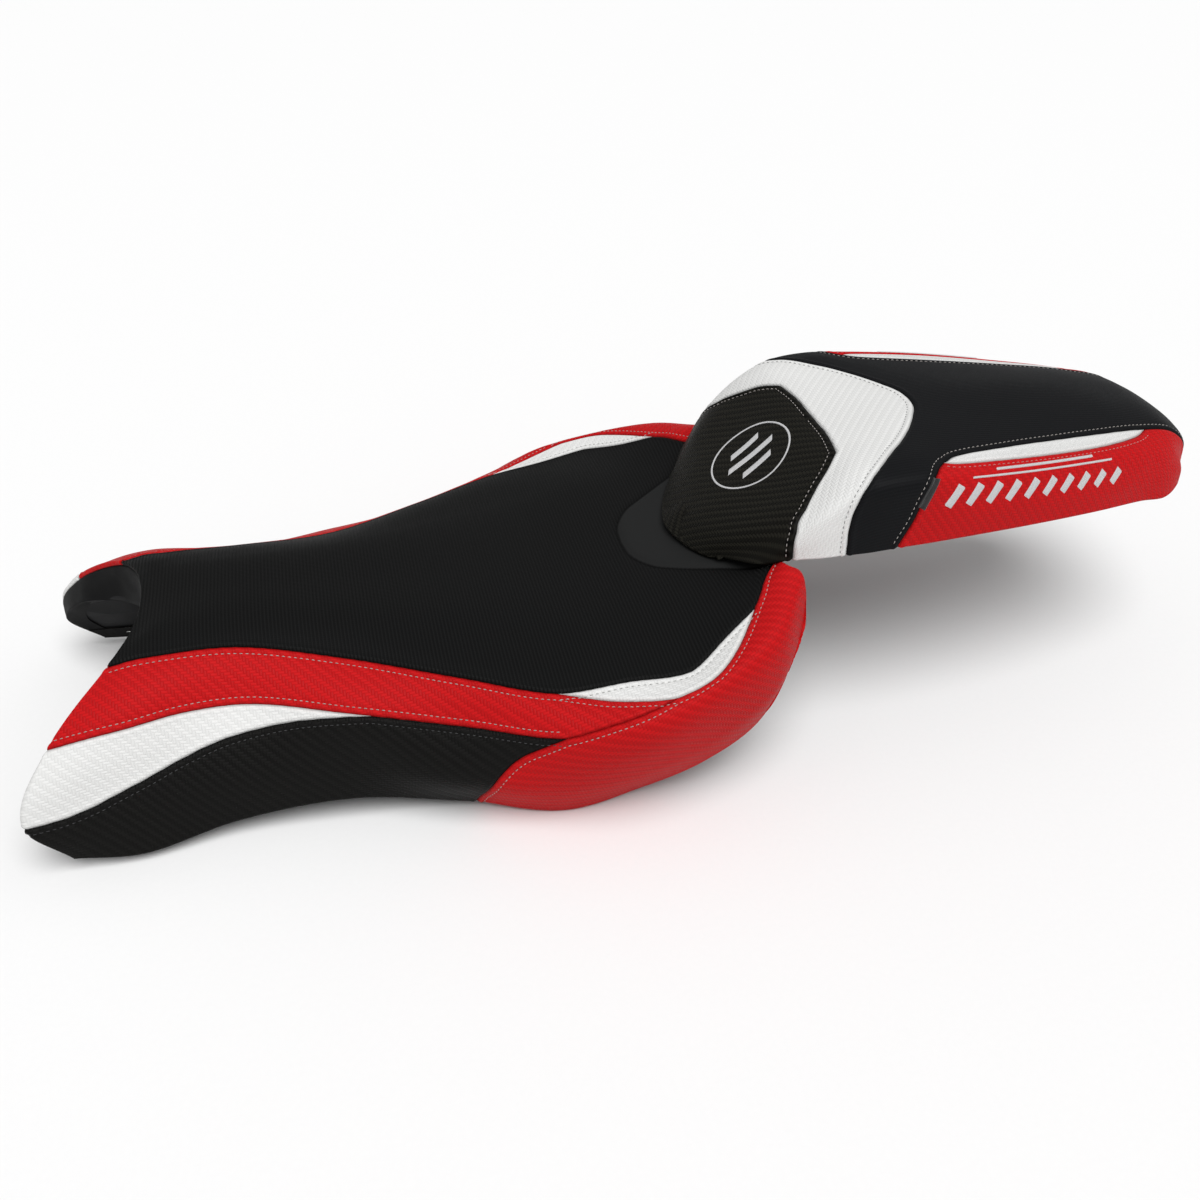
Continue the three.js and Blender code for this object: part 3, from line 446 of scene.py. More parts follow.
class Run:
    """An edge of a panel, to be read at shares of its length."""

    def __init__(self, body, places):
        self.places = places
        steps = np.linalg.norm(np.diff(body.at(*places.T), axis=0), axis=1)
        self.length = steps.sum()
        self.shares = np.concatenate([[0], np.cumsum(steps)]) / max(self.length, 1e-9)

    def match(self, ends, shares):
        """Stretches the shares so that the sections that end at these shares end at others."""
        self.shares = np.interp(self.shares, ends, shares)

    def at(self, share):
        columns = [np.interp(share, self.shares, self.places[:, k]) for k in (0, 1)]
        return np.stack(columns, axis=-1)


def steps_across(lengths, spacing):
    """Mesh positions across strips of these lengths, close together at both edges, in 0..1."""
    reach = EDGE_STEPS[-1]
    inner = max(2, int((lengths.max() - 2 * reach) / spacing))
    scale = np.minimum(1, lengths / (2.4 * reach))[:, None]
    first = EDGE_STEPS * scale
    middle = np.linspace(0, 1, inner + 2)[1:-1]
    between = first[:, -1:] + (lengths[:, None] - 2 * first[:, -1:]) * middle
    return np.concatenate([first, between, lengths[:, None] - first[:, ::-1]], axis=1) / lengths[:, None]


class Panel:
    """A patch of cover between four edges, near and far along it, start and end across it."""

    def __init__(self, name, body, near, far, look, start=None, end=None, side=1, **finish):
        self.name, self.body, self.look, self.side, self.finish = name, body, look, side, finish
        sections = None
        if isinstance(near, list):
            sections = [np.array([Run(body, run).length for run in edge]) for edge in (near, far)]
            near, far = joined(*near), joined(*far)
        flip = np.array([1, side])
        start = near[[0]] + np.linspace(0, 1, 12)[:, None] * (far[0] - near[0]) if start is None else start
        end = near[[-1]] + np.linspace(0, 1, 12)[:, None] * (far[-1] - near[-1]) if end is None else end
        self.near, self.far, self.start, self.end = (Run(body, run * flip) for run in (near, far, start, end))
        self.corners = [near[0] * flip, far[0] * flip, near[-1] * flip, far[-1] * flip]
        if sections is not None:
            ends = [np.concatenate([[0], np.cumsum(lengths / lengths.sum())]) for lengths in sections]
            self.near.match(ends[0], (ends[0] + ends[1]) / 2)
            self.far.match(ends[1], (ends[0] + ends[1]) / 2)

    def at(self, u, v):
        """[row, line] places at shares u along the panel and v across it."""
        u, v = np.broadcast_arrays(u, v)
        s, t = u[..., None], v[..., None]
        sides = (1 - t) * self.near.at(u) + t * self.far.at(u)
        ends = (1 - s) * self.start.at(v) + s * self.end.at(v)
        c00, c01, c10, c11 = self.corners
        corners = (1 - s) * ((1 - t) * c00 + t * c01) + s * ((1 - t) * c10 + t * c11)
        return sides + ends - corners

    def lengths(self, u, v):
        """Lengths on the surface of the lines through a grid of places, along its last axis."""
        points = self.body.at(*np.moveaxis(self.at(u, v), -1, 0))
        return np.linalg.norm(np.diff(points, axis=-2), axis=-1).sum(-1)

    def widths(self, u):
        return np.maximum(self.lengths(u[:, None], np.linspace(0, 1, 17)), 0.05)

    def grid(self):
        length = max(self.near.length, self.far.length)
        spacing = self.finish.get("spacing", SPACING)
        u = steps_across(np.array([length]), spacing)[0]
        v = steps_across(self.widths(u), spacing)
        return u, v, self.at(u[:, None], v)


# ---------- the relief of the covers
class Relief:
    """How far a cover stands off its body's plain surface near seams and topstitching."""

    def __init__(self, body, seams, stitches):
        self.body = body
        self.seams, self.stitches = Near(body, seams), Near(body, stitches)

    def at(self, row, line, puff=0.0):
        """Heights above the body's surface, and distances along it from the nearest seam."""
        points = self.body.at(row, line)
        from_seam = self.seams.distance(points)
        height = self.body.swell(row, line) + seam_roll(from_seam)
        height = height + ALLOWANCE * np.exp(-(((from_seam - ALLOWANCE_PLACE) / ALLOWANCE_WIDTH) ** 2))
        height = height + puff * (1 - np.exp(-((from_seam / PUFF_REACH) ** 2)))
        from_stitch = self.stitches.distance(points)
        return height - STITCH_PULL * np.exp(-((from_stitch / STITCH_GROOVE) ** 2)), from_seam


def seam_roll(distance):
    """How far a cover dips at a distance from a seam."""
    roll = 1 - np.clip(distance / SEAM_RADIUS, 0, 1)
    return -SEAM_DEPTH * (1 - np.sqrt(1 - roll**2))


# ---------- meshes
def weld(points, faces, grain=0.02):
    """Joins vertices that fall together, and drops faces that collapse."""
    keys = np.round(points / grain).astype(np.int64)
    _, first, place = np.unique(keys, axis=0, return_index=True, return_inverse=True)
    order = np.argsort(np.argsort(first))
    kept = np.sort(first)
    place = order[place.ravel()]
    joined_faces = []
    for face in faces:
        corners = list(dict.fromkeys(int(place[k]) for k in face))
        if len(corners) > 2:
            joined_faces.append(corners)
    return kept, joined_faces


def vertex_normals(points, faces):
    normals = np.zeros_like(points)
    for count in (3, 4):
        chosen = np.array([f for f in faces if len(f) == count])
        if not len(chosen):
            continue
        a, b, c, d = (points[chosen[:, k]] for k in (0, 1, 2, count - 1))
        face_normals = np.cross(c - a, d - b) if count == 4 else np.cross(b - a, c - a)
        for k in range(count):
            np.add.at(normals, chosen[:, k], face_normals)
    return unit(normals)


def shell(points, faces, thickness):
    """A closed solid from an open sheet and its copy a thickness below it."""
    inside = points - vertex_normals(points, faces) * thickness
    return np.concatenate([points, inside]), closed_up(faces, len(points))


def closed_up(faces, count):
    """Faces of a closed body from those of an open sheet, whose far side has its points next."""
    directed = {(f[k - 1], f[k]) for f in faces for k in range(len(f))}
    rim = [[b, a, a + count, b + count] for a, b in sorted(directed) if (b, a) not in directed]
    below = [[k + count for k in reversed(f)] for f in faces]
    return faces + below + rim


def mesh_object(name, points, faces, uv=None, values=None, sharp=55):
    """A Blender object from points in datum millimetres."""
    mesh = bpy.data.meshes.new(name)
    mesh.from_pydata(((points - ORIGIN) / 1000).tolist(), [], faces)
    corners = np.zeros(len(mesh.loops), np.int32)
    mesh.loops.foreach_get("vertex_index", corners)
    if uv is not None:
        layer = mesh.uv_layers.new(name="cloth")
        layer.data.foreach_set("uv", uv[corners].astype(np.float32).ravel())
    for key, value in (values or {}).items():
        attribute = mesh.attributes.new(key, "FLOAT", "POINT")
        attribute.data.foreach_set("value", value.astype(np.float32))
    mesh.polygons.foreach_set("use_smooth", [True] * len(mesh.polygons))
    mesh.set_sharp_from_angle(angle=math.radians(sharp))
    mesh.validate()
    piece = bpy.data.objects.new(name, mesh)
    bpy.context.scene.collection.objects.link(piece)
    return piece


def dress(piece, body, slot, material):
    piece.data.materials.append(material)
    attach(piece, body)
    return piece


def grid_faces(columns, rows):
    """Quads of a grid of points."""
    faces = []
    for i in range(columns - 1):
        a, b = i * rows, (i + 1) * rows
        faces += [[a + j, b + j, b + j + 1, a + j + 1] for j in range(rows - 1)]
    return faces


def rod_faces(first, rings, sides):
    """Faces of a rod, closed at both ends, whose rings of points follow each other."""
    faces = []
    for j in range(rings - 1):
        a, b = first + j * sides, first + (j + 1) * sides
        for k in range(sides):
            n = (k + 1) % sides
            faces.append([a + k, a + n, b + n, b + k])
    last = first + (rings - 1) * sides
    faces.append([first + k for k in reversed(range(sides))])
    faces.append([last + k for k in range(sides)])
    return faces


def turned_outwards(faces, sample, points, normals):
    """The faces, all turned over if a sample quad looks away from its first point's normal."""
    first, second, _, last = faces[sample]
    looks = np.cross(points[second] - points[first], points[last] - points[first])
    return [list(reversed(f)) for f in faces] if looks @ normals[first] < 0 else faces


def round_edge(grid):
    """The points along a grid's edge, in order, and each one's neighbour further in."""
    edge = [grid[:, 0], grid[-1, 1:], grid[-2::-1, -1], grid[0, -2:0:-1]]
    further_in = [grid[:, 1], grid[-2, 1:], grid[-2::-1, -2], grid[1, -2:0:-1]]
    return np.concatenate(edge), np.concatenate(further_in)


def used_points(faces):
    """The numbers of the points that faces use, and the faces with those counted from 0."""
    used = sorted({int(k) for f in faces for k in f})
    renumber = {old: new for new, old in enumerate(used)}
    return np.array(used), [[renumber[int(k)] for k in f] for f in faces]


def panel_mesh(panel, relief):
    """The visible cover panel: its patch of surface, rolled at the seams, with its hems."""
    body = panel.body
    _, v, places = panel.grid()
    columns, rows = v.shape
    row, line = places[..., 0], places[..., 1]
    points, normals = body.at(row, line), body.normal(row, line)
    height, from_seam = relief.at(row, line, panel.finish.get("puff", 0.6))
    extra = panel.finish.get("extra")
    lobe = np.full_like(height, -LOBE_REACH)
    if extra is not None:
        more, lobe = extra(row, line)
        height = height + more
    points = points + normals * height[..., None]
    uv = cloth_coordinates(panel, row, line, points)
    faces = grid_faces(columns, rows)
    points, uv = points.reshape(-1, 3), uv.reshape(-1, 2)
    height, from_seam, lobe = height.ravel(), from_seam.ravel(), lobe.ravel()

    # Hems, wherever the panel's own edge is the body's free edge.
    loop, inner = round_edge(np.arange(columns * rows).reshape(columns, rows))
    loop_row, loop_line = row.ravel()[loop], line.ravel()[loop]
    for free, wrapped in free_edges(body, loop_row, loop_line):
        if not free.any():
            continue
        hems, gone = edge_hem(body, loop_row, loop_line, height[loop][:, None], wrapped)
        steps = hems.shape[1]
        aim = unit(uv[loop] - uv[inner])
        hem_uv = uv[loop][:, None] + aim[:, None] * gone[..., None]
        number = len(points) + np.arange(len(loop) * steps).reshape(len(loop), steps)
        number[:, 0] = loop
        for k in range(len(loop)):
            n = (k + 1) % len(loop)
            if free[k] and free[n]:
                faces += [
                    [number[n, j], number[k, j], number[k, j + 1], number[n, j + 1]]
                    for j in range(steps - 1)
                ]
        points = np.concatenate([points, hems.reshape(-1, 3)])
        uv = np.concatenate([uv, hem_uv.reshape(-1, 2)])
        repeat = np.repeat(loop, steps)
        from_seam = np.concatenate([from_seam, from_seam[repeat]])
        lobe = np.concatenate([lobe, lobe[repeat]])

    middle = columns // 2 * (rows - 1) + rows // 2
    faces = turned_outwards(faces, middle, points, normals.reshape(-1, 3))
    used, faces = used_points(faces)
    kept, faces = weld(points[used], faces)
    chosen = used[kept]
    solid, faces = shell(points[chosen], faces, COVER)
    twice = np.concatenate([chosen, chosen])
    values = {"seam": from_seam[twice], "lobe": lobe[twice]}
    return mesh_object(panel.name, solid, faces, uv[twice], values)


def free_edges(body, row, line):
    """Which places are on a body's free edge, and whether their hem only wraps round the rim."""
    at_front = row < 1e-3
    elsewhere = (np.abs(line) > body.last_line - 1e-3) | (row > body.last_row - 1e-3)
    if body is PILLION:
        return [(elsewhere | at_front, False)]
    return [(elsewhere, False), (at_front, True)]


def edge_hem(body, row, line, height, wrapped):
    """A hem that starts at a height above the body's edge: its points and lengths."""
    if wrapped:
        points, normals, gone = body.part_of_rim(row, line, WRAP_SHARES, last=WRAP)
        lift = height + seam_roll(gone[:, -1:] - gone)
    else:
        to_front = smooth_step(1 - row) * (body is PILLION)
        to_rear = smooth_step(1 - (body.last_row - row))
        points, normals, gone = body.hem(row, line, 0.3 * (to_front - to_rear))
        lift = np.broadcast_to(height, gone.shape)
    return points + normals * lift[..., None], gone


def cloth_coordinates(panel, row, line, points):
    """Where each point lies on the flat cloth, in millimetres along and across its rows."""
    body = panel.body
    stations = np.arange(len(body.profile)) / GIRTH_STEPS
    x, out = points[..., 0], panel.side * body.girth(row, line)
    if body is PILLION:
        x = np.interp(row, stations, body.profile)
    angle = math.radians(panel.finish.get("rows", WEAVE_ANGLE))
    along = x * math.cos(angle) + out * math.sin(angle)
    across = out * math.cos(angle) - x * math.sin(angle)
    return np.stack([along, across], axis=-1)


# ---------- thread
def stitches(name, body, lines, relief):
    """Rows of topstitches: short arcs of thread that dive into the cover at both ends."""
    radius, sides, rings = THREAD / 2, 6, 7
    turns = 2 * math.pi * np.arange(sides) / sides
    share = np.linspace(-0.5, 0.5, rings)
    points = []
    for line in lines:
        run = Run(body, line)
        count = int(run.length / STITCH_PITCH)
        if count < 1:
            continue
        centres = (np.arange(count) + 0.5) * STITCH_PITCH
        along = (centres[:, None] + share * STITCH_LENGTH) / run.length
        row, across = np.moveaxis(run.at(along), -1, 0)
        surface, normal = body.at(row, across), body.normal(row, across)
        height, _ = relief.at(row, across)
        lift = radius * (1.15 - 2.6 * np.abs(2 * share) ** 3)
        middle = surface + normal * (height + lift)[..., None]
        forward = unit(np.gradient(middle, axis=1))
        sideways = np.cross(forward, normal)
        upward = np.cross(sideways, forward)
        taper = radius * (1 - 0.35 * np.abs(2 * share) ** 4)
        around = [math.cos(turn) * sideways + math.sin(turn) * upward for turn in turns]
        rods = np.stack([middle + ring * taper[:, None] for ring in around], axis=2)
        points.append(rods.reshape(-1, 3))
    points = np.concatenate(points)
    firsts = range(0, len(points), rings * sides)
    faces = [face for first in firsts for face in rod_faces(first, rings, sides)]
    return mesh_object(name, points, faces, sharp=80)


def embroidered(name, body, patches, relief):
    """Satin-stitched shapes: each patch is a function from two shares to [row, line] places."""
    points, faces, uv, offset = [], [], [], 0
    for place, columns, rows, size, closed in patches:
        s, t = np.meshgrid(np.linspace(0, 1, columns), np.linspace(0, 1, rows), indexing="ij")
        row, line = place(s, t)
        surface, normal = body.at(row, line), body.normal(row, line)
        height, _ = relief.at(row, line)
        edge = np.minimum(t, 1 - t) * size[1]
        if not closed:
            edge = np.minimum(edge, np.minimum(s, 1 - s) * size[0])
        crown = 0.75 * np.sqrt(1 - (1 - np.clip(edge / 1.2, 0, 1)) ** 2)
        top = surface + normal * (height + 0.05 + crown)[..., None]
        bottom = surface + normal * (height - 0.3)[..., None]
        whole = closed_up(grid_faces(columns, rows), columns * rows)
        whole = turned_outwards(whole, 1, top.reshape(-1, 3), normal.reshape(-1, 3))
        faces += [[k + offset for k in f] for f in whole]
        points += [top.reshape(-1, 3), bottom.reshape(-1, 3)]
        flat = np.stack([s * size[0], t * size[1]], axis=-1).reshape(-1, 2)
        uv += [flat, flat]
        offset += 2 * columns * rows
    return mesh_object(name, np.concatenate(points), faces, np.concatenate(uv))


# ---------- materials
class Shader:
    """A procedural material under construction."""

    def __init__(self, name, colour, roughness, **settings):
        self.material = bpy.data.materials.new(name)
        self.material.use_nodes = True
        self.material.diffuse_color = (*colour, 1)
        self.base = colour
        self.tree = self.material.node_tree
        self.surface = self.tree.nodes["Principled BSDF"]
        self.surface.inputs["Base Color"].default_value = (*colour, 1)
        self.surface.inputs["Roughness"].default_value = roughness
        for socket, value in settings.items():
            self.surface.inputs[socket.replace("_", " ")].default_value = value
        self.heights = None

    def node(self, kind, inputs=None, **settings):
        made = self.tree.nodes.new(kind)
        for key, value in settings.items():
            setattr(made, key, value)
        for key, value in (inputs or {}).items():
            self.feed(made.inputs[key], value)
        return made

    def feed(self, socket, value):
        if isinstance(value, bpy.types.NodeSocket):
            self.tree.links.new(value, socket)
        else:
            socket.default_value = value

    def math(self, operation, *values):
        made = self.node("ShaderNodeMath", operation=operation)
        for socket, value in zip(made.inputs, values):
            self.feed(socket, value)
        return made.outputs[0]

    def ramp(self, value, low, high, out_low=0.0, out_high=1.0):
        settings = {"Value": value, "From Min": low, "From Max": high, "To Min": out_low, "To Max": out_high}
        return self.node("ShaderNodeMapRange", settings, interpolation_type="SMOOTHSTEP").outputs[0]

    def mix(self, share, a, b):
        made = self.node("ShaderNodeMix", data_type="RGBA")
        self.feed(made.inputs[0], share)
        self.feed(made.inputs[6], a)
        self.feed(made.inputs[7], b)
        return made.outputs[2]

    def shade(self, factor):
        """The material's own colour, brighter or darker."""
        return (*[min(1.0, c * factor) for c in self.base], 1)

    def tones(self, share, low, high):
        """The material's own colour, from one brightness to another."""
        return self.mix(share, self.shade(low), self.shade(high))

    def cloth(self):
        """The two coordinates of the flat cloth, in millimetres."""
        uv = self.node("ShaderNodeUVMap", uv_map="cloth").outputs[0]
        parts = self.node("ShaderNodeSeparateXYZ", {"Vector": uv}).outputs
        return uv, parts[0], parts[1]

    def place(self):
        """The point's place on the object, in metres."""
        return self.node("ShaderNodeTexCoord").outputs["Object"]

    def attribute(self, name):
        return self.node("ShaderNodeAttribute", attribute_name=name).outputs["Fac"]

    def noise(self, vector, scale, detail=3.0, roughness=0.5):
        inputs = {"Vector": vector, "Scale": scale, "Detail": detail, "Roughness": roughness}
        return self.node("ShaderNodeTexNoise", inputs).outputs["Fac"]

    def bump(self, height, distance_mm, strength=1.0):
        inputs = {"Height": height, "Distance": distance_mm / 1000, "Strength": strength}
        made = self.node("ShaderNodeBump", inputs)
        if self.heights is not None:
            self.feed(made.inputs["Normal"], self.heights)
        self.heights = made.outputs[0]
        self.feed(self.surface.inputs["Normal"], self.heights)

    def colour(self, socket):
        self.feed(self.surface.inputs["Base Color"], socket)

    def roughness(self, socket):
        self.feed(self.surface.inputs["Roughness"], socket)


def vary_and_shade_seams(shader, base):
    """Adds slow colour variation, and painted shade: the cover darkened next to its seams, where it dips into
    them.
    """
    place = shader.place()
    slow = shader.ramp(shader.noise(place, 14.0), 0.3, 0.7, 0.0, 1.0)
    toned = shader.mix(slow, base, shader.mix(0.06, base, shader.shade(1.6)))
    seam = shader.attribute("seam")
    # Painted shade: within about 1.5 mm of a seam the colour is darkened, where the cover dips into the seam.
    seam_shade = shader.ramp(seam, 0.2, 1.5, 0.6, 0.0)
    shader.colour(shader.mix(seam_shade, toned, shader.shade(0.35)))


def twill(shader):
    """A 2 by 2 twill of flat tows, its rows along the cloth: its relief and which tow is on top."""
    _, x, y = shader.cloth()
    scale = TOW * math.sqrt(2)
    column = shader.math("DIVIDE", shader.math("ADD", y, x), scale)
    rank = shader.math("DIVIDE", shader.math("SUBTRACT", y, x), scale)
    inside_x, inside_y = shader.math("FRACT", column), shader.math("FRACT", rank)
    cells = shader.math("ADD", shader.math("FLOOR", column), shader.math("FLOOR", rank))
    turn = shader.math("FLOORED_MODULO", cells, 4.0)
    warp = shader.math("LESS_THAN", turn, 1.5)
    weft = shader.math("SUBTRACT", 1.0, warp)
    across = shader.math(
        "ADD", shader.math("MULTIPLY", warp, inside_x), shader.math("MULTIPLY", weft, inside_y)
    )
    over_warp = shader.math("ADD", turn, inside_y)
    over_weft = shader.math("ADD", shader.math("SUBTRACT", turn, 2.0), inside_x)
    along = shader.math(
        "ADD", shader.math("MULTIPLY", warp, over_warp), shader.math("MULTIPLY", weft, over_weft)
    )
    along = shader.math("MULTIPLY", along, 0.5)
    crown = arch(shader, across, 2.0)
    float_end = arch(shader, along, 6.0)
    return shader.math("MULTIPLY", crown, float_end), warp


def arch(shader, share, power):
    """1 in the middle of 0..1 and 0 at both ends, flatter with a higher power."""
    centred = shader.math("ABSOLUTE", shader.math("MULTIPLY_ADD", share, 2.0, -1.0))
    return shader.math("SUBTRACT", 1.0, shader.math("POWER", centred, power))


def carbon_vinyl(name, colour, roughness=0.42, contrast=0.17, relief=0.2, border=None):
    """Vinyl embossed with a carbon twill, but for a plain border of a width along its seams."""
    shader = Shader(name, colour, roughness, Specular_IOR_Level=0.06)
    height, warp = twill(shader)
    if border is not None:
        plain = shader.ramp(shader.attribute("seam"), border - 0.4, border + 0.4, 0.0, 1.0)
        height = shader.math("MULTIPLY", height, plain)
    # Partly real, partly painted: warp against weft is the pattern's own two tones, and the height term is
    # painted shade, darker where the tows dip at their edges.
    tone = shader.math("ADD", shader.math("MULTIPLY", warp, 0.55), shader.math("MULTIPLY", height, 0.45))
    base = shader.tones(tone, 1 - contrast, 1 + contrast)
    vary_and_shade_seams(shader, base)
    grain = shader.noise(shader.place(), 2600.0, 2.0)
    shader.bump(height, relief)
    shader.bump(grain, 0.03)
    gloss = shader.math("MULTIPLY_ADD", warp, 0.08, roughness - 0.04)
    shader.roughness(shader.math("MULTIPLY_ADD", grain, 0.1, gloss))
    return shader.material


def ribbed_vinyl(name, colour, depth=0.12, contrast=0.35):
    """Grip vinyl with fine ribs, smooth where the bum stop is let in; painted sheen makes the bum stop paler,
    and painted shade darkens the rib troughs and the groove round it.
    """
    shader = Shader(name, colour, 0.55, Specular_IOR_Level=0.07)
    _, x, y = shader.cloth()
    wave = shader.math("SINE", shader.math("MULTIPLY", y, 2 * math.pi / RIB))
    broken = shader.math("SINE", shader.math("MULTIPLY", x, 2 * math.pi / (RIB * 0.7)))
    ribs = shader.math("MULTIPLY_ADD", broken, 0.25, wave)
    lobe = shader.attribute("lobe")
    smooth = shader.ramp(lobe, -0.3, 0.3)
    # Painted shade: the colour is darkened in the soft groove round the bum stop.
    groove = shader.ramp(shader.math("ABSOLUTE", lobe), 0.2, 1.6, 0.8, 0.0)
    ribs = shader.math("MULTIPLY", ribs, shader.math("SUBTRACT", 1.0, smooth))
    # Painted shade and light: the colour follows the ribs' height, darker in their troughs and paler on their
    # crests.
    tone = shader.ramp(ribs, -1.0, 1.0)
    base = shader.tones(tone, 1 - contrast, 1 + contrast)
    # Painted sheen: the smooth bum stop's colour is made paler than the ribbed vinyl round it.
    base = shader.mix(smooth, base, shader.shade(LOBE_PAINTED_SHEEN))
    base = shader.mix(groove, base, shader.shade(0.3))
    vary_and_shade_seams(shader, base)
    grain = shader.noise(shader.place(), 2200.0, 3.0)
    shader.bump(ribs, depth)
    shader.bump(grain, 0.06)
    shader.roughness(shader.ramp(grain, 0.3, 0.7, 0.5, 0.62))
    return shader.material


def smooth_vinyl(name, colour, roughness=0.45, grain_size=1.1):
    """Plain seat vinyl with a fine leather grain."""
    shader = Shader(name, colour, roughness, Specular_IOR_Level=0.1)
    place = shader.place()
    cells = shader.node(
        "ShaderNodeTexVoronoi",
        {"Vector": place, "Scale": 1000.0 / grain_size},
        feature="DISTANCE_TO_EDGE",
    ).outputs["Distance"]
    creases = shader.ramp(cells, 0.0, 0.25)
    # Painted shade: the colour is darker in the grain's creases.
    base = shader.tones(creases, 0.8, 1.05)
    vary_and_shade_seams(shader, base)
    shader.bump(creases, 0.05)
    shader.bump(shader.noise(place, 900.0, 2.0), 0.05)
    shader.roughness(shader.ramp(shader.noise(place, 60.0), 0.3, 0.7, roughness - 0.04, roughness + 0.06))
    return shader.material


def thread(name, colour, twist=0.5):
    """Polyester sewing thread, with its twist as fine slanting ridges."""
    shader = Shader(name, colour, 0.5, Sheen_Weight=0.3, Specular_IOR_Level=0.35)
    place = shader.place()
    strands = shader.node(
        "ShaderNodeTexWave",
        {"Vector": place, "Scale": 1000.0 / (twist * 6.3), "Distortion": 1.0},
        bands_direction="DIAGONAL",
    ).outputs["Fac"]
    # Painted shade: the thread is darker in the grooves between its strands.
    shader.colour(shader.tones(strands, 0.7, 1.1))
    shader.bump(strands, 0.08)
    shader.roughness(shader.ramp(strands, 0.0, 1.0, 0.6, 0.42))
    return shader.material


def satin_thread(name, colour, pitch=0.42):
    """Embroidery: threads laid side by side across each shape."""
    shader = Shader(name, colour, 0.38, Sheen_Weight=0.35, Anisotropic=0.4, Specular_IOR_Level=0.6)
    _, x, _ = shader.cloth()
    wander = shader.noise(shader.place(), 700.0, 2.0)
    phase = shader.math("MULTIPLY_ADD", wander, 1.6, shader.math("MULTIPLY", x, 2 * math.pi / pitch))
    lines = shader.ramp(shader.math("SINE", phase), -1.0, 1.0)
    # Painted shade: the colour is darker in the hollows between the laid threads.
    shader.colour(shader.tones(lines, 0.62, 1.08))
    shader.bump(lines, 0.14)
    shader.roughness(shader.ramp(lines, 0.0, 1.0, 0.5, 0.34))
    return shader.material


def moulded_plastic(name, colour):
    """Polypropylene from a spark-textured mould."""
    shader = Shader(name, colour, 0.6, Specular_IOR_Level=0.15)
    place = shader.place()
    texture = shader.noise(place, 1300.0, 4.0, 0.6)
    flow = shader.noise(place, 22.0, 3.0)
    base = shader.tones(flow, 0.8, 1.3)
    # Painted highlight: the texture's raised points are made paler.
    shader.colour(shader.mix(shader.ramp(texture, 0.35, 0.65, 0.0, 0.3), base, shader.shade(1.9)))
    shader.bump(texture, 0.08)
    shader.roughness(shader.ramp(flow, 0.3, 0.7, 0.5, 0.68))
    return shader.material


def zinc_plate(name, colour):
    """Pressed steel, zinc plated and passivated, with press marks and handling scratches."""
    shader = Shader(name, colour, 0.35, Metallic=1.0)
    place = shader.place()
    clouds = shader.noise(place, 45.0, 5.0, 0.6)
    stretched = shader.node(
        "ShaderNodeMapping", {"Vector": place, "Scale": (60.0, 900.0, 900.0)}
    ).outputs[0]
    scratches = shader.noise(stretched, 3.0, 4.0, 0.7)
    tint = shader.mix(shader.ramp(clouds, 0.35, 0.65), shader.shade(0.8), (0.62, 0.60, 0.50, 1))
    shader.colour(shader.mix(shader.ramp(scratches, 0.5, 0.75, 0.0, 0.35), tint, shader.shade(1.35)))
    shader.bump(scratches, 0.02)
    shader.roughness(shader.ramp(clouds, 0.3, 0.7, 0.28, 0.48))
    return shader.material


def rubber(name, colour):
    """Moulded rubber with a bloom of pale dust."""
    shader = Shader(name, colour, 0.8, Specular_IOR_Level=0.3)
    place = shader.place()
    dust = shader.ramp(shader.noise(place, 130.0, 5.0, 0.65), 0.5, 0.8, 0.0, 0.35)
    shader.colour(shader.mix(dust, shader.shade(1.0), (0.10, 0.095, 0.09, 1)))
    shader.bump(shader.noise(place, 1500.0, 3.0), 0.06)
    shader.roughness(shader.ramp(dust, 0.0, 0.3, 0.72, 0.9))
    return shader.material


def foam_rubber(name, colour):
    """Moulded polyurethane foam: a skin over open cells."""
    shader = Shader(name, colour, 0.95, Specular_IOR_Level=0.2)
    place = shader.place()
    cells = shader.node("ShaderNodeTexVoronoi", {"Vector": place, "Scale": 650.0}).outputs["Distance"]
    stain = shader.noise(place, 25.0, 3.0)
    base = shader.tones(stain, 0.85, 1.05)
    # Painted shade: the colour darkens in the pits of the open cells.
    shader.colour(shader.mix(shader.ramp(cells, 0.2, 0.7, 0.25, 0.0), base, shader.shade(0.5)))
    shader.bump(cells, 0.2)
    shader.roughness(shader.ramp(cells, 0.0, 0.8, 0.98, 0.85))
    return shader.material


def woven_label(name, colour):
    """A damask-woven label: fine plain weave."""
    shader = Shader(name, colour, 0.7, Sheen_Weight=0.2)
    _, x, y = shader.cloth()
    warp = shader.math("SINE", shader.math("MULTIPLY", x, 2 * math.pi / 0.35))
    weft = shader.math("SINE", shader.math("MULTIPLY", y, 2 * math.pi / 0.35))
    weave = shader.math("MULTIPLY", warp, weft)
    # Painted shade and light: the colour is darker in the hollows of the weave and paler on its raised
    # crossings.
    shader.colour(shader.tones(shader.ramp(weave, -1.0, 1.0), 0.6, 1.5))
    shader.bump(weave, 0.05)
    shader.roughness(shader.ramp(weave, -1.0, 1.0, 0.62, 0.78))
    return shader.material


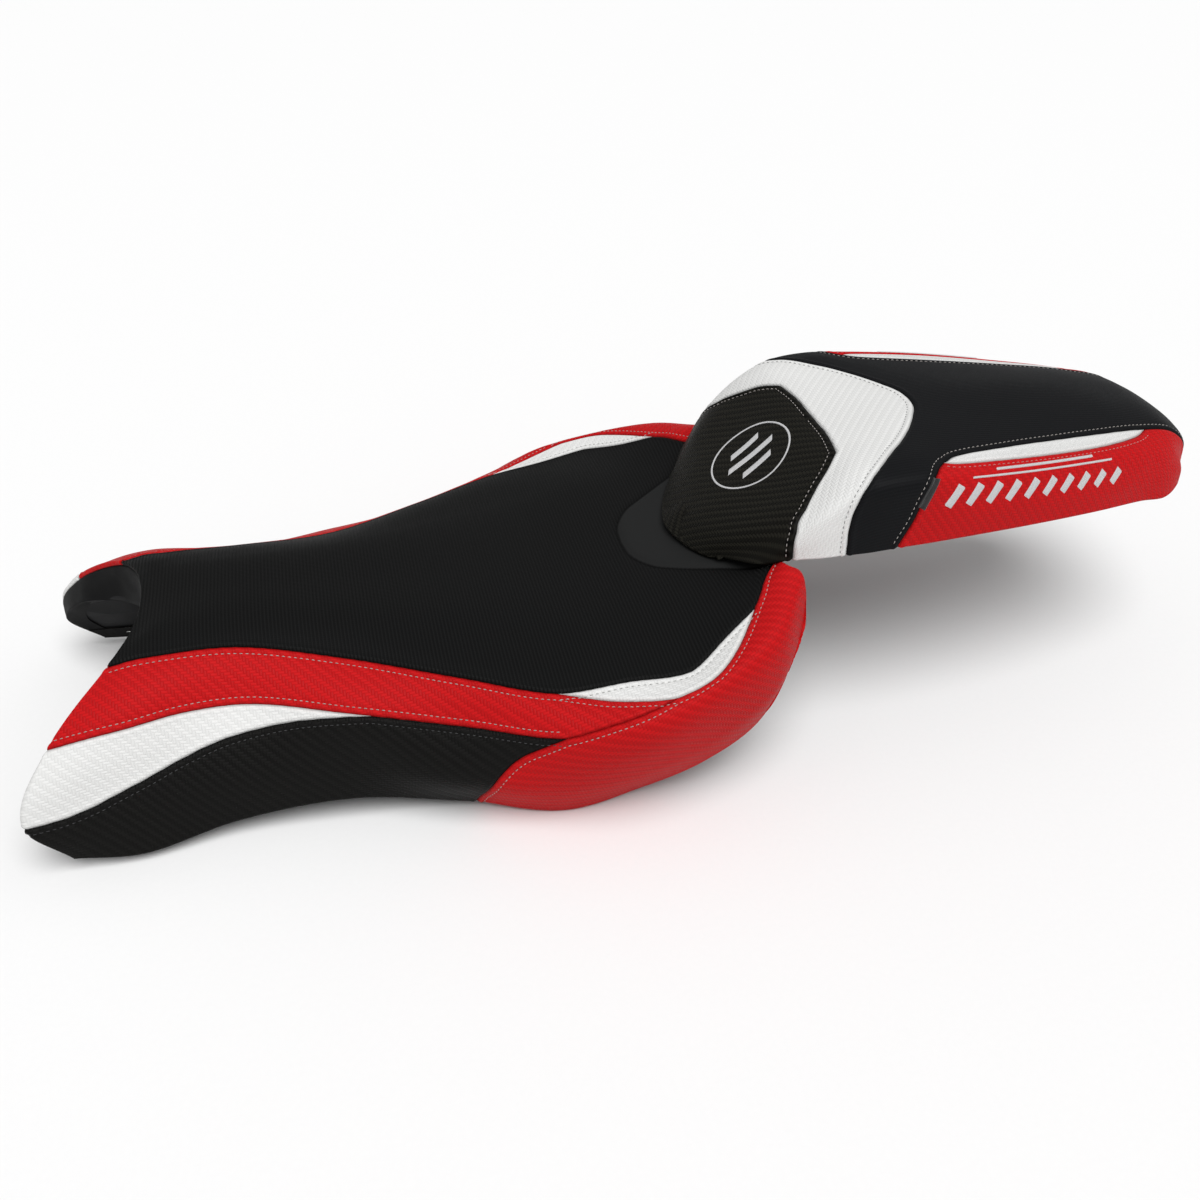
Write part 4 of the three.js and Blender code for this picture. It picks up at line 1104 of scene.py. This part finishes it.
BLACK, RED, WHITE = (0.0046, 0.0047, 0.0047), (0.42, 0.0062, 0.0075), (0.66, 0.66, 0.65)
LOOKS = {
    "grip": ("black_grip_vinyl", ribbed_vinyl("grip_vinyl", BLACK)),
    "black_carbon": (
        "black_carbon_vinyl",
        carbon_vinyl("black_carbon", (0.0060, 0.0058, 0.0054), 0.45, 0.3),
    ),
    "gloss_carbon": (
        "black_carbon_vinyl",
        carbon_vinyl("gloss_carbon", (0.0080, 0.0075, 0.0057), 0.42, 0.8, border=5.6),
    ),
    "red_carbon": ("red_carbon_vinyl", carbon_vinyl("red_carbon", RED, 0.45)),
    "white_carbon": ("white_carbon_vinyl", carbon_vinyl("white_carbon", WHITE, 0.4, 0.06)),
    "white": ("white_carbon_vinyl", smooth_vinyl("white_smooth", WHITE, 0.4)),
    "satin": ("black_smooth_vinyl", ribbed_vinyl("satin_black", (0.0052, 0.0055, 0.0063), 0.03, 0.14)),
    # The lining's colour is darker than the same smooth black vinyl on the pillion top: painted shade, for its
    # place inside the wings.
    "lining": ("black_smooth_vinyl", smooth_vinyl("lining_black", (0.003, 0.003, 0.0032), 0.6)),
}
THREADS = {
    "grey": thread("grey_thread", (0.36, 0.33, 0.31)),
    "dark": thread("dark_thread", (0.022, 0.022, 0.024)),
    "slate": thread("slate_thread", (0.27, 0.27, 0.27)),
    "pale": thread("pale_thread", (0.42, 0.42, 0.41)),
    "rose": thread("rose_thread", (0.52, 0.20, 0.19)),
}
SILVER = satin_thread("silver_thread", (0.66, 0.66, 0.67))
HARDWARE = {
    "black_polypropylene": moulded_plastic("polypropylene", (0.007, 0.007, 0.0075)),
    "zinc_plated_steel": zinc_plate("zinc_plated_steel", (0.60, 0.61, 0.62)),
    "buffer_rubber": rubber("buffer_rubber", (0.016, 0.016, 0.016)),
    "polyurethane_foam": foam_rubber("polyurethane_foam", (0.70, 0.60, 0.38)),
    "woven_label": woven_label("woven_label", (0.006, 0.006, 0.0065)),
}


# ---------- the panels
def lobe_relief(row, line):
    """The bum stop: a smooth raised field behind a soft groove. Heights, and depth into it."""
    half = run_of(LOBE)
    outline = joined(mirrored(half)[::-1], half)
    distance = Near(RIDER, [outline]).distance(RIDER.at(row, line))
    limit = np.interp(np.abs(line), half[:, 1], half[:, 0], right=99.0)
    depth = np.where(row > limit, distance, -distance)
    groove = -LOBE_GROOVE * np.exp(-((depth / 1.8) ** 2))
    return groove + LOBE_STEP * smooth_step(depth / 6), np.clip(depth, -LOBE_REACH, LOBE_REACH)


def along(seams, names):
    """The line along seams that follow each other. One named with a minus sign runs backwards."""
    runs = []
    for name in names.split():
        run = run_of(seams[name.lstrip("-")])
        runs.append(run[::-1] if name[0] == "-" else run)
    return joined(*runs)


def paired_panels(body, seams, table):
    """The panels that a body has on both of its sides."""
    panels = []
    for label, side in SIDES.items():
        for name, near, far, look, finish in table:
            ends = {key: along(seams, finish[key]) for key in ("start", "end") if key in finish}
            panel = f"{body.name.split('_')[0]}_{name}_{label}"
            edges = along(seams, near), along(seams, far)
            panels.append(Panel(panel, body, *edges, look, side=side, **{**finish, **ends}))
    return panels


# Panels that both sides have: the seams along their near and far edges, their look and finish.
RIDER_PAIRS = [
    ("red_strip", "upper insert_below", "lower lower_rear rear_rise", "red_carbon", {}),
    ("white_insert", "insert_top insert_rise", "insert_below horn_rise", "white_carbon", {"puff": 0.3}),
    ("white_front", "lower", "waist_to_front", "white_carbon", {}),
    ("black_side", "waist_to_front lower_rear", "bottom_front", "black_carbon", {"end": "rear_fall"}),
    (
        "red_rear", "rear_rise horn_rise horn_top", "bottom_rear", "red_carbon",
        {"start": "rear_fall", "puff": 1.0, "rows": 30},
    ),
]
PILLION_PAIRS = [
    ("white_stripe", "stripe_top", "stripe_low", "white", {"puff": 0.3}),
    ("red_side", "stripe_low tail", "bottom_rear", "red_carbon", {"start": "-flap_rear"}),
]


def rider_panels():
    top_edge = along(RIDER_SEAMS, "upper insert_top insert_rise horn_top")
    top = Panel(
        "rider_top_cover", RIDER, mirrored(top_edge), top_edge, "grip", rows=90, puff=0.0, spacing=2.2,
        extra=lobe_relief,
    )
    return [top, *paired_panels(RIDER, {**RIDER_SEAMS, **RIDER_EDGES}, RIDER_PAIRS)]


def pillion_panels():
    seams = {**PILLION_SEAMS, **PILLION_EDGES}
    nose = along(seams, "nose")
    front_edge = across_centre(along(seams, "front_side front_rear"))
    chevron_edge = across_centre(along(seams, "chevron_side chevron_rear"))
    # The chevron's rear seam is cut where it faces the stripe, the tail and the rear edge, so that
    # the mesh lines that join them don't cross.
    back = along(seams, "chevron_rear")
    first, second = np.searchsorted(back[:, 0], (4.6, 5.05))
    inner = [along(seams, "chevron_side"), back[: first + 1], back[first : second + 1], back[second:]]
    outline = [along(seams, name) for name in ("flap_rear", "stripe_top", "tail", "behind")]
    both = [[*map(mirrored, half), *(run[::-1] for run in reversed(half))] for half in (inner, outline)]
    centre = [
        Panel("pillion_front_panel", PILLION, front_edge, nose, "gloss_carbon", rows=-44, puff=0.4),
        Panel("pillion_chevron", PILLION, front_edge, chevron_edge, "white_carbon", rows=50),
        Panel("pillion_top_panel", PILLION, *both, "satin", rows=0, puff=0.3),
    ]
    return centre + paired_panels(PILLION, seams, PILLION_PAIRS)


# Topstitching: the thread, on which side of the seams it runs, and the seams it follows.
RIDER_STITCHES = [
    ("grey", 1, "upper insert_below"),
    ("grey", -1, "lower lower_rear"),
    ("grey", 1, "-rear_fall rear_rise horn_rise horn_top"),
    ("dark", 1, "waist_to_front lower_rear"),
    ("pale", 1, "insert_top insert_rise"),
]
PILLION_STITCHES = [
    ("grey", -1, "front_side front_rear"),
    ("slate", -1, "chevron_side chevron_rear"),
    ("grey", -1, "flap_rear stripe_top tail"),
    ("rose", 1, "stripe_low"),
]


def stitch_lines(body, seams, table):
    """The places of the topstitches on both sides, by thread."""
    lines = {}
    for colour, side, names in table:
        line = parallel(body, along(seams, names), side * STITCH_OFFSET)
        lines.setdefault(colour, []).extend([line, mirrored(line)])
    return lines


def sew(body, panels, table, seams):
    """Makes a body's cover panels and their topstitching."""
    lines = stitch_lines(body, seams, table)
    both_sides = [flip for places in seams.values() for flip in (run_of(places), mirrored(run_of(places)))]
    relief = Relief(body, both_sides, [line for group in lines.values() for line in group])
    for panel in panels:
        slot, material = LOOKS[panel.look]
        piece = dress(panel_mesh(panel, relief), body.name, slot, material)
        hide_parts(panel.name)
    prefix = body.name.split("_")[0]
    for colour, group in lines.items():
        piece = stitches(f"{prefix}_topstitch_{colour}", body, group, relief)
        dress(piece, body.name, "silver_thread" if colour == "grey" else "woven_label", THREADS[colour])
    return relief


sew(RIDER, rider_panels(), RIDER_STITCHES, RIDER_SEAMS)
pillion_relief = sew(PILLION, pillion_panels(), PILLION_STITCHES, PILLION_SEAMS)


def front_lining():
    """The smooth lining that closes the rider seat's front and the inner faces of its wings."""
    edge = np.stack([np.zeros(300), np.linspace(-RIDER.last_line, RIDER.last_line, 300)], axis=1)
    row, line = Run(RIDER, edge).at(np.linspace(0, 1, 160)).T
    shares = np.array([0, 0.01, 0.03, 0.06, 0.1, 0.15, 0.22, 0.3, 0.4, 0.5, 0.6, 0.7, 0.78, 0.86, 0.93, 1])
    points, normals, gone = RIDER.hem(row, line, 0.3, 0.2, shares, WRAP)
    fading = np.clip(1 - (gone - WRAP) / 12, 0, 1)
    height = seam_roll(gone - WRAP) + RIDER.swell(row, line)[:, None] * fading
    points = points + normals * height[..., None]
    faces = grid_faces(*gone.shape)
    across = lengths_along(points[None, :, 0])[0]
    uv = np.stack([np.broadcast_to(across[:, None], gone.shape), gone], axis=-1).reshape(-1, 2)
    flat = points.reshape(-1, 3)
    faces = turned_outwards(faces, len(faces) // 2, flat, normals.reshape(-1, 3))
    solid, faces = shell(flat, faces, COVER)
    from_seam = {"seam": np.tile((gone - WRAP).ravel(), 2)}
    piece = mesh_object("rider_front_lining_cover", solid, faces, np.tile(uv, (2, 1)), from_seam)
    slot, material = LOOKS["lining"]
    dress(piece, RIDER.name, slot, material)
    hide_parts("rider_front_lining")


front_lining()


# ---------- foam under the covers
def cushion(body, node):
    """The moulded foam between the covers and the base."""
    columns, rows = 60, 70
    row, line = np.meshgrid(
        np.linspace(0.05, body.last_row - 0.05, columns),
        np.linspace(0.04 - body.last_line, body.last_line - 0.04, rows),
        indexing="ij",
    )
    top, under = body.at(row, line), body.inner.at(row, line)
    down = unit(under - top)
    depth = np.linalg.norm(under - top, axis=-1)
    upper = np.minimum(CUSHION_GAP, depth * 0.45)
    lower = np.maximum(depth - CUSHION_GAP, depth * 0.55)
    face = (top + down * upper[..., None]).reshape(-1, 3)
    back = (top + down * lower[..., None]).reshape(-1, 3)
    faces = closed_up(grid_faces(columns, rows), columns * rows)
    piece = mesh_object(f"{node}_moulding", np.concatenate([face, back]), faces)
    dress(piece, body.name, "polyurethane_foam", HARDWARE["polyurethane_foam"])
    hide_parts(node)


cushion(RIDER, "rider_foam_core")
cushion(PILLION, "pillion_foam_core")


# ---------- embroidery and tag
def ring_patch(body, centre, radius, width):
    def place(s, t):
        angle = 2 * math.pi * s
        reach = radius + (t - 0.5) * width
        return body.near(*centre, reach * np.cos(angle), reach * np.sin(angle))

    return place, 73, 5, (2 * math.pi * radius, width), True


def bar_patch(body, centre, start, end, width, slant=0.0):
    """A bar from start to end, in millimetres from the centre, with its ends cut at a slant."""
    start, end = np.array(start, float), np.array(end, float)
    length = np.linalg.norm(end - start)
    along = (end - start) / length
    aside = np.array([-along[1], along[0]])

    def place(s, t):
        offset = (t - 0.5) * width
        reach = s * length + slant * offset
        a = start[0] + along[0] * reach + aside[0] * offset
        b = start[1] + along[1] * reach + aside[1] * offset
        return body.near(*centre, a, b)

    return place, max(8, int(length / 1.2)), 6, (length, width), False


def nose_emblem():
    """A plain roundel: a ring round three bars."""
    centre = (2.02, 0.0)
    patches = [ring_patch(PILLION, centre, 29.0, 1.9)]
    for k, half in enumerate((12.5, 19.0, 12.5)):
        offset = (k - 1) * 12.0
        patches.append(bar_patch(PILLION, centre, (-half, offset - 2), (half, offset + 2), 6.0, 0.6))
    piece = embroidered("pillion_emblem_embroidery", PILLION, patches, pillion_relief)
    dress(piece, PILLION.name, "silver_thread", SILVER)
    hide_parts("pillion_emblem")


def side_bars(label, side):
    """Slanted speed bars under two thin lines."""
    centre = (6.1, side * 3.67)
    count, pitch, height, lean = 10, 14.0, 14.5, 4.0
    patches = []
    for k in range(count):
        x = (k - (count - 1) / 2) * pitch
        half = height / 2 - 0.3 * k
        low, high = (x - lean, side * half), (x + lean, -side * half)
        patches.append(bar_patch(PILLION, centre, low, high, 7.0))
    for rise, start, end in ((11.0, -52, 60), (14.5, -34, 44)):
        patches.append(bar_patch(PILLION, centre, (start, -side * rise), (end, -side * rise), 1.5))
    piece = embroidered(f"pillion_side_bars_{label}", PILLION, patches, pillion_relief)
    dress(piece, PILLION.name, "silver_thread", SILVER)


def side_tag():
    """A plain folded label, sewn on beside the front seam of the left red panel."""
    corners = np.array([[[4.10, -3.85], [4.27, -4.0]], [[4.36, -2.95], [4.52, -3.05]]])

    def place(s, t):
        low, high = ((1 - t)[..., None] * pair[0] + t[..., None] * pair[1] for pair in corners)
        return np.moveaxis((1 - s)[..., None] * low + s[..., None] * high, -1, 0)

    tag = embroidered("pillion_tag_label", PILLION, [(place, 16, 8, (24.0, 6.0), False)], pillion_relief)
    dress(tag, PILLION.name, "woven_label", HARDWARE["woven_label"])
    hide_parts("pillion_side_tag")


nose_emblem()
for side_label, side_sign in SIDES.items():
    side_bars(side_label, side_sign)
side_tag()


# ---------- staples under the base
def staples(name, body, runs, crown=9.0, wire=0.75):
    """Steel staples that hold the hem to the moulded base, flat under it."""
    points, faces = [], []
    profile = [(0.5, 0.0), (0.35, 0.35), (0.0, 0.5), (-0.35, 0.35), (-0.5, 0.0), (0.0, -0.3)]
    bends = [(-0.5, -0.9), (-0.47, 0.1), (-0.3, 0.32), (0.3, 0.32), (0.47, 0.1), (0.5, -0.9)]
    for run in runs:
        line = Run(body, run)
        count = int(line.length / STAPLE_PITCH)
        shares = (np.arange(count) + 0.5) / count
        row, across = np.moveaxis(line.at(shares), -1, 0)
        hems, normals, _ = body.hem(row, across)
        spots, ups = hems[:, -3], normals[:, -1]
        ahead = line.at(np.clip(shares + 0.004, 0, 1))
        behind = line.at(np.clip(shares - 0.004, 0, 1))
        forward = unit(body.hem(*ahead.T)[0][:, -3] - body.hem(*behind.T)[0][:, -3])
        sideways = np.cross(forward, ups)
        for spot, along, aside, up in zip(spots, forward, sideways, ups):
            first = len(points)
            for x, sink in bends:
                for across_share, up_share in profile:
                    offset = along * x * crown + aside * across_share * wire
                    points.append(spot + offset + up * (sink + up_share * wire + 0.2))
            faces += rod_faces(first, len(bends), len(profile))
    piece = mesh_object(name, np.array(points), faces)
    dress(piece, body.name, "zinc_plated_steel", HARDWARE["zinc_plated_steel"])


def edge_runs(body):
    side_run = np.stack([np.linspace(0.3, body.last_row - 0.3, 120), np.full(120, body.last_line)], axis=1)
    return [side_run, mirrored(side_run)]


staples("rider_hem_staples", RIDER, edge_runs(RIDER))
staples("pillion_hem_staples", PILLION, edge_runs(PILLION))


# ---------- carried-over CAD pieces
for entry in frame["record"]["subparts"]:
    node = frame["nodes"].get(entry["node"])
    material = HARDWARE.get(entry["material_slot"])
    if node is None or node.hide_render or material is None:
        continue
    node.data.materials.clear()
    node.data.materials.append(material)


# ---------- studio
def studio():
    low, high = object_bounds()
    middle = (low + high) / 2
    bpy.ops.mesh.primitive_plane_add(size=80, location=(middle.x, middle.y, low.z))
    floor = bpy.context.object
    floor.name = "studio_floor"
    paper = Shader("studio_paper", (0.82, 0.82, 0.82), 0.9, Specular_IOR_Level=0.1)
    fibres = paper.noise(paper.place(), 300.0, 3.0)
    paper.colour(paper.mix(fibres, (0.81, 0.81, 0.81, 1), (0.83, 0.83, 0.83, 1)))
    floor.data.materials.append(paper.material)
    floor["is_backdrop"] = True
    world = bpy.data.worlds.new("studio")
    world.use_nodes = True
    world.node_tree.nodes["Background"].inputs["Color"].default_value = (1, 1, 1, 1)
    world.node_tree.nodes["Background"].inputs["Strength"].default_value = 0.42
    bpy.context.scene.world = world
    softbox = bpy.data.lights.new("softbox", "SUN")
    softbox.energy, softbox.angle = 2.75, 0.8
    lamp = bpy.data.objects.new("softbox", softbox)
    lamp.rotation_euler = Vector((0.05, -0.42, 0.9)).to_track_quat("Z", "Y").to_euler()
    bpy.context.scene.collection.objects.link(lamp)


def photo_camera():
    """A 36 mm lens on a 36 mm sensor, from the photograph's viewpoint."""
    data = bpy.data.cameras.new("photo_camera")
    data.sensor_width, data.lens = 36, 36
    camera = bpy.data.objects.new("photo_camera", data)
    place = Vector((-0.2554, -0.6581, 0.4799))
    right = Vector((0.97079526, -0.23990949, 0))
    forward = Vector((0.19438708, 0.78658851, -0.58608206))
    up = right.cross(forward)
    turn = Matrix((right, up, -forward)).transposed()
    camera.matrix_world = Matrix.Translation(place) @ turn.to_4x4()
    bpy.context.scene.collection.objects.link(camera)
    bpy.context.scene.camera = camera


photo_camera()
studio()
bpy.context.scene.view_settings.view_transform = "Standard"
